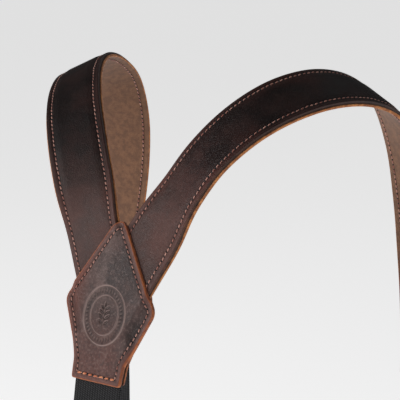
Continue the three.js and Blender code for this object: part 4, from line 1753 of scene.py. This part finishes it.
    def patch_lift(self, x: Array, v: Array, inset: Array, level: Array) -> Array:
        """Lift of the patch's vertices from its level, 1 on top and 0 underneath."""
        top = self.face_lift(x, v, inset) - 0.8 * rolled_fall(inset, self.roll)
        bottom = self.patch_low - 0.22 * MM - self.sag(x, v)
        return bottom + (top - bottom) * level

    def backing_lift(self, x: Array, v: Array, inset: Array, level: Array) -> Array:
        """Lift of the backing's vertices."""
        groove = 0.3 * MM * bell(inset - self.seam_inset, 0.9 * MM)
        low = self.backing_low + 0.8 * rolled_fall(inset, self.roll) + groove + self.sag(x, v)
        high = self.backing_high + 0.22 * MM + self.sag(x, v)
        return low + (high - low) * level

    def drawn_in(self, loop: Array, inset: float) -> Array:
        """An outline moved inward by an inset, point by point."""
        ahead = np.roll(loop, -2, axis=0) - np.roll(loop, 2, axis=0)
        ahead /= np.linalg.norm(ahead, axis=1, keepdims=True)
        inward = np.stack([-ahead[:, 1], ahead[:, 0]], 1)
        if np.mean(((loop.mean(0) - loop) * inward).sum(1)) < 0:
            inward = -inward
        return loop + inward * inset

    def seam_path(self) -> tuple[Array, Array]:
        """The border's stitch line: flat points, from the hem's one corner round to the other."""
        loop = resample(self.yoke.outline(30), 0.5 * MM)
        line = self.drawn_in(loop, self.seam_inset)
        depth = edge_distance(line, loop)
        line = line[depth > self.seam_inset - 0.15 * MM]
        hem = line[:, 1].min() + 0.35 * MM
        return line[line[:, 1] > hem], line[line[:, 1] <= hem]

    def seams(self) -> list[Piece]:
        """Sews the border, with a heavier row across the hem, on both sides.

        Returns:
            The finished pieces.
        """
        sides, hem = self.seam_path()
        turn = int(np.argmax(np.linalg.norm(np.diff(sides, axis=0), axis=1))) + 1
        sides = np.roll(sides, -turn, axis=0)
        hem = hem[np.argsort(hem[:, 0])]
        fine = Stitching(self.finishes.thread, self.finishes.hole, thickness=0.8 * MM)
        heavy = Stitching(self.finishes.hem_thread, self.finishes.hole, pitch=4.2 * MM, length=3.1 * MM,
                          thickness=1.3 * MM, arch=0.45 * MM, hole_width=1.5 * MM)
        rows = []
        for label, flat, kind in (("border", sides, fine), ("hem", hem, heavy)):
            flat = flat[:: max(1, len(flat) // 160)]
            x, v = flat.T
            inset = np.full_like(x, self.seam_inset)
            for face, lift, sign in (("patch", self.face_lift(x, v, inset), 1.0),
                                     ("backing", self.backing_low + 0.3 * MM + self.sag(x, v), -1.0)):
                at = self.yoke.place(x, v, lift)
                looks = np.tile(self.yoke.out, (len(at), 1))
                line = Route.through(at, looks, samples=1600)
                rows.append(kind.sew(f"{face}_{label}_seam", line, 0.0, 0.0, line.length,
                                     lambda u, d: np.zeros_like(u), sign=sign))
        return [hand_over(row, "yoke_and_straps") for row in rows]

    def build(self) -> list[Piece]:
        """Builds the patch, the backing and their seams."""
        patch = self.layer("back_patch", "yoke_patch", "patch_leather", True, self.patch_lift)
        backing = self.layer("back_patch_backing", "yoke_backing", "lining_leather", False, self.backing_lift)
        return [patch, backing, *self.seams()]


# --------------------------------------------------------------------------- strap ends


@dataclass
class Webbing:
    """Elastic webbing, 35 mm wide, threaded over the slider's bar and round the bail."""

    width: float = 35 * MM
    thickness: float = 1.6 * MM
    hem_thickness: float = 3.8 * MM
    selvedge: float = 0.7 * MM
    ring_step: float = 1.5 * MM

    def band(self, name: str, points: Array, thickness: Array, bands: int = 30) -> Piece:
        """Builds a band through (y, z) points in an end's own frame.

        Args:
            name: the piece's name.
            points: the middle line, one (y, z) row per point, in metres.
            thickness: the band's thickness at each point.
            bands: how many columns it has.

        Returns:
            The band, its outside towards the left of its run.
        """
        heading = np.gradient(points, axis=0)
        looks = np.stack([np.zeros(len(points)), heading[:, 1], -heading[:, 0]], 1)
        at = np.stack([np.zeros(len(points)), points[:, 0], points[:, 1]], 1)
        looks /= np.linalg.norm(looks, axis=1, keepdims=True)
        route = Route.through(at, looks, samples=1600)
        half = self.width / 2
        top = np.linspace(-half + self.selvedge, half - self.selvedge, bands)
        turn = np.linspace(math.pi / 2, -math.pi / 2, 7)
        right = [(half - self.selvedge + self.selvedge * math.cos(a), 0.5 * math.sin(a)) for a in turn]
        profile = [(float(x), 0.5) for x in top[:-1]] + right + [(float(x), -0.5) for x in top[::-1][1:-1]]
        profile += [(-x, z) for x, z in right[::-1]]
        piece = sweep(name, profile, route.length, self.ring_step)
        blank = read_points(piece.data)
        thick = np.interp(blank[:, 1], np.linspace(0, route.length, len(points)), thickness)
        write_points(piece.data, route.lay(blank[:, 0], blank[:, 1], blank[:, 2] * thick))
        recalculate(piece)
        write_uv(piece.data, blank[:, 0] + blank[:, 2] * 2 * MM, blank[:, 1])
        return shade(piece, 60)


@dataclass
class StrapEnd:
    """One end: the webbing, its slider, the bail and the clip with its lever and pads.

    Its pieces are modelled about the slider's centre with +Y outward, then set in place. swing
    is the back webbing's way from the yoke's slope to the slider, and tuck the loop's way back
    up behind the slider's bar, both as (y, z) in millimetres from the slider's centre.
    """

    name: str
    facing: Facing
    finishes: Finishes
    yoke: Yoke
    webbing: Webbing = field(default_factory=Webbing)
    clearance: float = 0.3 * MM
    plate: float = 2.4 * MM
    corner: float = 3.5 * MM
    slot_width: float = 36.4 * MM
    slot_height: float = 6.4 * MM
    slot_radius: float = 1.6 * MM
    bar: float = 3.6 * MM
    wire: float = 1.25 * MM
    wire_half: float = 20.5 * MM
    wire_height: float = 14 * MM
    wire_corner: float = 3 * MM
    sheet: float = 1.2 * MM
    barrel_width: float = 32 * MM
    barrel: float = 3 * MM
    plate_back: float = -3.4 * MM
    clip_width: float = 38 * MM
    clip_height: float = 46 * MM
    lip: float = 2.8 * MM
    ear: float = 2.8 * MM
    ear_thickness: float = 1.2 * MM
    pin: float = 1.2 * MM
    pin_depth: float = 2.2 * MM
    pin_drop: float = 12.5 * MM
    pin_head: float = 0.4 * MM
    bore_gap: float = 0.15 * MM
    lever_depth: float = 4.9 * MM
    lever: float = 2.7 * MM
    ridges: int = 5
    window: tuple[float, float] = (14 * MM, 6 * MM)
    window_drop: float = 24 * MM
    play: float = 0.05 * MM
    swing: tuple[tuple[float, float], ...] = ((-4.1, 90), (-1.6, 75), (-0.3, 63), (0.0, 51), (0.0, 30))
    tuck: tuple[tuple[float, float], ...] = (
        (-4.7, -20), (-4.35, -14), (-3.3, -8.2), (-1.4, -3.4), (-0.35, -0.6), (0.05, 1.4))

    def __post_init__(self) -> None:
        """Reads where the frame holds this end."""
        low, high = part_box(f"{self.name}_slider")
        sign = self.facing.value
        front = high.y if sign > 0 else low.y
        out = self.webbing.thickness / 2 + self.clearance + self.plate
        self.place = Vector(((low.x + high.x) / 2, front - sign * out, (low.z + high.z) / 2))
        self.slider_size = (high.x - low.x, high.z - low.z)
        ring_low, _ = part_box(f"{self.name}_bail")
        self.loop = self.place.z - (ring_low.z + self.wire) - self.wire_height
        self.strands = 2 * (self.wire + self.clearance + self.webbing.thickness / 2)
        self.seat = (-self.strands / 2, -self.loop - self.wire_height)

    def settle(self, piece: Piece, at_clip: bool = False) -> Piece:
        """Moves a piece from the end's own frame, or from the clip's, to its place."""
        if at_clip:
            piece.data.transform(Matrix.Translation((0, self.seat[0], self.seat[1])))
        turn = Matrix.Rotation(0 if self.facing is Facing.FRONT else math.pi, 4, "Z")
        piece.data.transform(Matrix.Translation(self.place) @ turn)
        piece.data.update()
        return piece

    def local(self, spot: Array) -> tuple[float, float]:
        """A place's (y, z) in the end's own frame."""
        return (spot[1] - self.place.y) * self.facing.value, spot[2] - self.place.z

    def _over_bar(self) -> list[tuple[float, float]]:
        """The middle line of the webbing as it comes down and over the slider's bar.

        Returns:
            The (y, z) points.
        """
        crest = self.webbing.thickness + 2 * self.clearance + self.plate
        edge = self.bar / 2
        return [
            (0.0, edge + self.slot_height + 1.6 * MM),
            (0.1 * MM, edge + self.slot_height - 0.9 * MM),
            (crest * 0.28, edge + self.slot_height * 0.58),
            (crest * 0.64, edge + self.slot_height * 0.4),
            (crest - 0.25 * MM, edge + 0.9 * MM),
            (crest, edge - 0.9 * MM),
            (crest, 0.0),
        ]

    def strap_webbing(self) -> Piece:
        """Webbing from where it is sewn in down to the slider's bar.

        Returns:
            The piece.
        """
        if self.facing is Facing.FRONT:
            _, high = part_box(f"{self.name}_strap_webbing")
            top = high.z - self.place.z
            points = [(0.0, z) for z in np.linspace(top, self.slot_height + 8 * MM, 12)]
            thickness = [self.webbing.thickness] * len(points)
        else:
            hem_top = self.yoke.straps_end_at - self.clearance
            stops = [hem_top, hem_top - 10 * MM, hem_top - 18 * MM, hem_top - 22 * MM, hem_top - 27 * MM]
            places = self.yoke.place(np.zeros(5), np.array(stops), np.zeros(5))
            points = [self.local(p) for p in places]
            points += [(y * MM, z * MM) for y, z in self.swing]
            thick = self.webbing.hem_thickness
            thickness = [thick, thick, thick, 1.9 * MM] + [self.webbing.thickness] * (len(points) - 4)
        bar = self._over_bar()
        points, thickness = points + bar, thickness + [self.webbing.thickness] * len(bar)
        piece = self.webbing.band(f"{self.name}_elastic", np.array(points), np.array(thickness))
        piece.data.materials.append(self.finishes.elastic)
        self.settle(piece)
        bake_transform(piece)
        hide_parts(f"{self.name}_strap_webbing")
        return piece

    def loop_webbing(self) -> Piece:
        """Webbing from the slider's bar down round the bail and back up behind.

        Returns:
            The piece.
        """
        radius = self.strands / 2
        down = [(y, -z) for y, z in self._over_bar()][::-1]
        straight = [(0.0, z) for z in np.linspace(-14 * MM, -self.loop + 6 * MM, 8)]
        bend = np.linspace(0, math.pi, 9)
        turn = [(radius * (math.cos(a) - 1), -self.loop - radius * math.sin(a)) for a in bend]
        back = [(-self.strands, z) for z in np.linspace(-self.loop + 6 * MM, -26 * MM, 8)]
        up = [(y * MM, z * MM) for y, z in self.tuck]
        points = np.array(down + straight + turn + back + up)
        thickness = np.full(len(points), self.webbing.thickness)
        piece = self.webbing.band(f"{self.name}_elastic_loop", points, thickness)
        piece.data.materials.append(self.finishes.elastic)
        self.settle(piece)
        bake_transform(piece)
        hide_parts(f"{self.name}_loop_webbing")
        return piece

    def slider(self) -> Piece:
        """The two-slot slider that the webbing is threaded over.

        Returns:
            The piece.
        """
        width, height = self.slider_size
        back = self.webbing.thickness / 2 + self.clearance
        piece = add_cube(f"{self.name}_slide_plate", (-width / 2, back, -height / 2),
                         (width / 2, back + self.plate, height / 2))
        round_corners(piece, self.corner, 1)
        slots = []
        for sign in (-1, 1):
            centre = sign * (self.bar + self.slot_height) / 2
            slot = add_cube("slot", (-self.slot_width / 2, back - MM, centre - self.slot_height / 2),
                            (self.slot_width / 2, back + self.plate + MM, centre + self.slot_height / 2))
            slots.append(round_corners(slot, self.slot_radius, 1))
        cut_or_join(piece, slots, "DIFFERENCE")
        soften_edges(piece, 0.55 * MM, 4)
        return self._metal(piece, "slider", "slider")

    def _metal(self, piece: Piece, body: str, node: str) -> Piece:
        """Plates a piece and sets it on its body in place of its CAD node."""
        piece.data.materials.clear()
        piece.data.materials.append(self.finishes.steel)
        self.settle(piece, at_clip=body != "slider")
        return hand_over(piece, f"{self.name}_{body}", f"{self.name}_{node}")

    def bail(self) -> Piece:
        """The wire ring between the webbing loop and the clip.

        Returns:
            The piece.
        """
        deselect_all()
        middle = (0, 0, self.wire_height / 2)
        bpy.ops.mesh.primitive_plane_add(size=1.0, location=middle, rotation=(math.pi / 2, 0, 0))
        piece = named(f"{self.name}_wire_bail")
        piece.scale = (2 * self.wire_half, self.wire_height, 1)
        bake_place(piece)
        pick(piece)
        bpy.ops.object.mode_set(mode="EDIT")
        bpy.ops.mesh.select_all(action="SELECT")
        bpy.ops.mesh.bevel(offset=self.wire_corner, segments=8, affect="VERTICES")
        bpy.ops.mesh.select_all(action="SELECT")
        bpy.ops.mesh.delete(type="ONLY_FACE")
        bpy.ops.object.mode_set(mode="OBJECT")
        bpy.ops.object.convert(target="CURVE")
        piece = bpy.context.active_object
        piece.data.bevel_depth = self.wire
        piece.data.bevel_resolution = 5
        bpy.ops.object.convert(target="MESH")
        piece = bpy.context.active_object
        recalculate(piece)
        return self._metal(shade(piece, 60), "bail", "bail")

    def clip_base(self) -> Piece:
        """The clip's back plate, rolled over the bail, with two ears for the pin.

        Returns:
            The piece.
        """
        half, foot = self.clip_width / 2, -self.clip_height
        front, seat = self.plate_back + self.sheet, self.plate_back + self.play
        piece = add_cube(f"{self.name}_clip_plate", (-half, self.plate_back, foot), (half, front, 0))
        round_corners(piece, 3.0 * MM, 1)
        wide, high = self.window[0] / 2, self.window[1] / 2
        window = add_cube("window", (-wide, self.plate_back - MM, -self.window_drop - high),
                          (wide, front + MM, high - self.window_drop))
        cut_or_join(piece, [round_corners(window, high - 0.1 * MM, 1)], "DIFFERENCE")
        rolled = self.barrel_width / 2
        barrel = add_rod("barrel", (0, 0, 0), self.barrel, self.barrel_width)
        wrap = add_cube("wrap", (self.play - rolled, seat, -MM), (rolled - self.play, 0, self.barrel - MM))
        cut_or_join(barrel, [wrap], "UNION")
        bore = add_rod("bore", (0, 0, 0), self.wire + self.clearance, self.clip_width + 4 * MM)
        parts = [cut_or_join(barrel, [bore], "DIFFERENCE")]
        parts.append(add_cube("lip", (3 * MM - half, seat, foot + self.play),
                              (half - 3 * MM, self.plate_back + self.lip, foot + self.sheet)))
        parts += [self._ear(sign * (half - self.play - self.ear_thickness / 2), seat) for sign in (-1, 1)]
        for part in (piece, *parts):
            soften_edges(part, 0.28 * MM, 2, 40)
        return self._metal(join_all(piece, parts), "clip", "clip_base")

    def _ear(self, x: float, seat: float) -> Piece:
        """One ear of the clip's back plate, round at its free end and bored for the pin.

        Args:
            x: the middle of its thickness.
            seat: the depth at which it starts.

        Returns:
            The piece.
        """
        near, far = x - self.ear_thickness / 2, x + self.ear_thickness / 2
        piece = add_cube("ear", (near, seat, -self.pin_drop - self.ear),
                         (far, self.pin_depth + self.ear, -self.pin_drop + self.ear))
        round_corners(piece, 0.98 * self.ear, 0, beyond=0.0)
        hinge = (x, self.pin_depth, -self.pin_drop)
        bore = add_rod("bore", hinge, self.pin + self.bore_gap, 4 * self.ear_thickness)
        return cut_or_join(piece, [bore], "DIFFERENCE")

    def clip_pin(self) -> Piece:
        """The riveted hinge pin with domed heads.

        Returns:
            The piece.
        """
        length = self.clip_width + 2 * self.pin_head
        y, z = self.pin_depth, -self.pin_drop
        piece = add_rod(f"{self.name}_rivet", (0, y, z), self.pin, length, 28)
        radius, thick = 1.75 * MM, 0.36 * MM
        heads = [
            add_rod("head", (sign * (length / 2 - thick / 2), y, z), radius, thick, 28) for sign in (-1, 1)
        ]
        cut_or_join(piece, heads, "UNION")
        soften_edges(piece, 0.14 * MM, 3, 40)
        return self._metal(piece, "clip", "clip_pin")

    def clip_lever(self) -> Piece:
        """The front lever, with a raised frame pressed into its face and a thumb lip.

        Returns:
            The piece.
        """
        half = self.clip_width / 2 - self.ear_thickness - self.clearance
        front, foot, y, z = self.lever_depth, -self.clip_height, self.pin_depth, -self.pin_drop
        piece = add_cube(f"{self.name}_lever_plate", (-half, front - self.sheet, foot), (half, front, z))
        round_corners(piece, 2.4 * MM, 1)
        parts = [
            add_rod("barrel", (0, y, z), self.lever, 2 * half),
            add_cube("web", (-half, y, z - 1.8 * MM), (half, front, z)),
            add_cube("lip", (-half + 2.4 * MM, front - self.lip, foot),
                     (half - 2.4 * MM, front, foot + self.sheet)),
        ]
        cut_or_join(piece, parts, "UNION")
        bore = add_rod("bore", (0, y, z), self.pin + self.bore_gap, 2 * half + 4 * MM)
        cut_or_join(piece, [bore], "DIFFERENCE")
        frame_out = add_cube("frame", (-half + 4 * MM, front - 0.5 * MM, foot + 4.5 * MM),
                             (half - 4 * MM, front + 0.45 * MM, z - 4.5 * MM))
        frame_in = add_cube("field", (-half + 5.4 * MM, front, foot + 5.9 * MM),
                            (half - 5.4 * MM, front + MM, z - 5.9 * MM))
        round_corners(frame_out, 2.6 * MM, 1)
        round_corners(frame_in, 1.6 * MM, 1)
        cut_or_join(frame_out, [frame_in], "DIFFERENCE")
        cut_or_join(piece, [frame_out], "UNION")
        soften_edges(piece, 0.22 * MM, 2, 40)
        return self._metal(piece, "lever", "clip_lever")

    def pad(self, body: str, node: str) -> Piece:
        """A ribbed rubber pad, cut to the seat and ridges of its CAD node.

        Args:
            body: the end's body that carries it.
            node: the end's CAD node that it stands for.

        Returns:
            The piece.
        """
        low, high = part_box(f"{self.name}_{node}")
        sign = self.facing.value
        near, far = sorted(((low.y - self.place.y) * sign, (high.y - self.place.y) * sign))
        facing_out = body == "clip"
        bottom, top = low.z - self.place.z, high.z - self.place.z
        half = (high.x - low.x) / 2
        crest, seat = (far, near) if facing_out else (near, far)
        root = crest - math.copysign(0.75 * MM, crest - seat)
        piece = add_cube(f"{self.name}_{body}_grip", (-half, min(seat, root), bottom),
                         (half, max(seat, root), top))
        pitch = (top - bottom) / self.ridges
        ridges = []
        for k in range(self.ridges):
            z = bottom + (k + 0.5) * pitch
            ridges.append(add_cube("ridge", (-half, min(root - 0.1 * MM, crest), z - 0.27 * pitch),
                                   (half, max(root + 0.1 * MM, crest), z + 0.27 * pitch)))
        cut_or_join(piece, ridges, "UNION")
        soften_edges(piece, 0.3 * MM, 3, 40)
        piece.data.materials.clear()
        piece.data.materials.append(self.finishes.rubber)
        self.settle(piece)
        return hand_over(piece, f"{self.name}_{body}", f"{self.name}_{node}")

    def build(self) -> list[Piece]:
        """Builds the whole end."""
        return [
            self.strap_webbing(), self.loop_webbing(), self.slider(), self.bail(), self.clip_base(),
            self.clip_pin(), self.clip_lever(), self.pad("clip", "base_pad"), self.pad("lever", "lever_pad"),
        ]


# --------------------------------------------------------------------------- studio


@dataclass
class Studio:
    """The camera, the pale floor that fills the view behind the object, and the soft lights."""

    camera_at: Spot = (0.530, -0.7824, 0.1232)
    look: tuple[float, float] = (34.1, 12.3)
    lens: float = 131.1
    floor: float = -0.62
    floor_radius: float = 40.0
    glow: float = 0.68
    target: Spot = (0.03, -0.06, -0.08)
    room: tuple[float, float] = (0.03, 0.2)
    backdrop: float = 0.79

    def camera(self) -> Piece:
        """Sets the camera from its azimuth and elevation in degrees.

        Returns:
            The camera.
        """
        data = bpy.data.cameras.new("view")
        data.lens, data.sensor_width, data.clip_end = self.lens, 36.0, 60.0
        camera = bpy.data.objects.new("view", data)
        bpy.context.scene.collection.objects.link(camera)
        azimuth, elevation = (math.radians(a) for a in self.look)
        camera.location = self.camera_at
        camera.rotation_euler = (math.pi / 2 - elevation, 0.0, azimuth)
        bpy.context.scene.camera = camera
        return camera

    def floor_plane(self) -> Piece:
        """A wide pale floor that fills the view, softly self-lit so that it stays even.

        Returns:
            The piece.
        """
        deselect_all()
        bpy.ops.mesh.primitive_circle_add(vertices=64, radius=self.floor_radius, fill_type="NGON",
                                          location=(0, 0, self.floor))
        floor = bake_place(named("pale_floor"))
        s = Shading("pale_paper")
        tone = s.noise(s.coordinates("Object"), 0.8, 2.0)
        s.feed(s.bsdf, Base_Color=s.blend(tone, (0.80, 0.80, 0.81, 1), (0.84, 0.84, 0.84, 1)), Roughness=0.95)
        s.feed(s.bsdf, Emission_Color=(1.0, 1.0, 1.0, 1.0), Emission_Strength=self.glow)
        floor.data.materials.append(s.material)
        return floor

    def light(self, name: str, direction: Spot, distance: float, size: float, power: float) -> Piece:
        """Adds a square softbox that faces the object.

        Args:
            name: the light's name.
            direction: the way from the object to the light.
            distance: how far away it stands.
            size: the side of the softbox.
            power: its power in watts.

        Returns:
            The light.
        """
        data = bpy.data.lights.new(name, "AREA")
        data.shape, data.size, data.energy = "SQUARE", size, power
        lamp = bpy.data.objects.new(name, data)
        bpy.context.scene.collection.objects.link(lamp)
        aim = Vector(direction).normalized()
        lamp.location = Vector(self.target) + aim * distance
        lamp.rotation_euler = aim.to_track_quat("Z", "Y").to_euler()
        return lamp

    def world(self) -> None:
        """A dim room, brighter behind the wearer than in front and above."""
        world = bpy.data.worlds.new("soft_room")
        world.use_nodes = True
        tree = world.node_tree
        direction = tree.nodes.new("ShaderNodeTexCoord")
        split = tree.nodes.new("ShaderNodeSeparateXYZ")
        ramp = tree.nodes.new("ShaderNodeMapRange")
        tree.links.new(direction.outputs["Generated"], split.inputs[0])
        tree.links.new(split.outputs["Y"], ramp.inputs[0])
        for socket, value in zip(ramp.inputs[1:5], (0.3, -1.0, *self.room)):
            socket.default_value = value
        seen = tree.nodes.new("ShaderNodeMix")
        seen.inputs[3].default_value = self.backdrop
        tree.links.new(tree.nodes.new("ShaderNodeLightPath").outputs["Is Camera Ray"], seen.inputs[0])
        tree.links.new(ramp.outputs[0], seen.inputs[2])
        tree.links.new(seen.outputs[0], tree.nodes["Background"].inputs["Strength"])
        tree.nodes["Background"].inputs["Color"].default_value = (1.0, 1.0, 1.0, 1.0)
        bpy.context.scene.world = world

    def build(self) -> None:
        """Sets up the whole studio."""
        bpy.context.scene.view_settings.view_transform = "Standard"
        self.camera()
        self.floor_plane()
        self.world()
        self.light("key_softbox", (-0.62, -0.75, 0.36), 1.9, 1.1, 24.0)
        self.light("fill_softbox", (1.0, -0.6, 0.1), 2.6, 1.6, 5.0)
        self.light("top_softbox", (0.25, 0.9, 1.0), 2.4, 1.2, 2.5)


# --------------------------------------------------------------------------- the whole object


def main() -> None:
    """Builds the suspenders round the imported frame."""
    logging.basicConfig(level=logging.INFO, format="%(name)s: %(message)s")
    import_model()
    Studio().build()
    finishes = Finishes()
    straps = Straps(finishes)
    assemblies: dict[str, list[Piece]] = {"straps": straps.build()}
    assemblies["back patch"] = Patch(finishes, straps).build()
    for name, facing in (("front_left", Facing.FRONT), ("front_right", Facing.FRONT), ("back", Facing.BACK)):
        assemblies[name] = StrapEnd(name, facing, finishes, straps.yoke).build()
    for label, pieces in assemblies.items():
        for piece in pieces:
            LOG.info("%s: %s, %d faces", label, piece.name, len(piece.data.polygons))


if __name__ == "__main__":
    main()
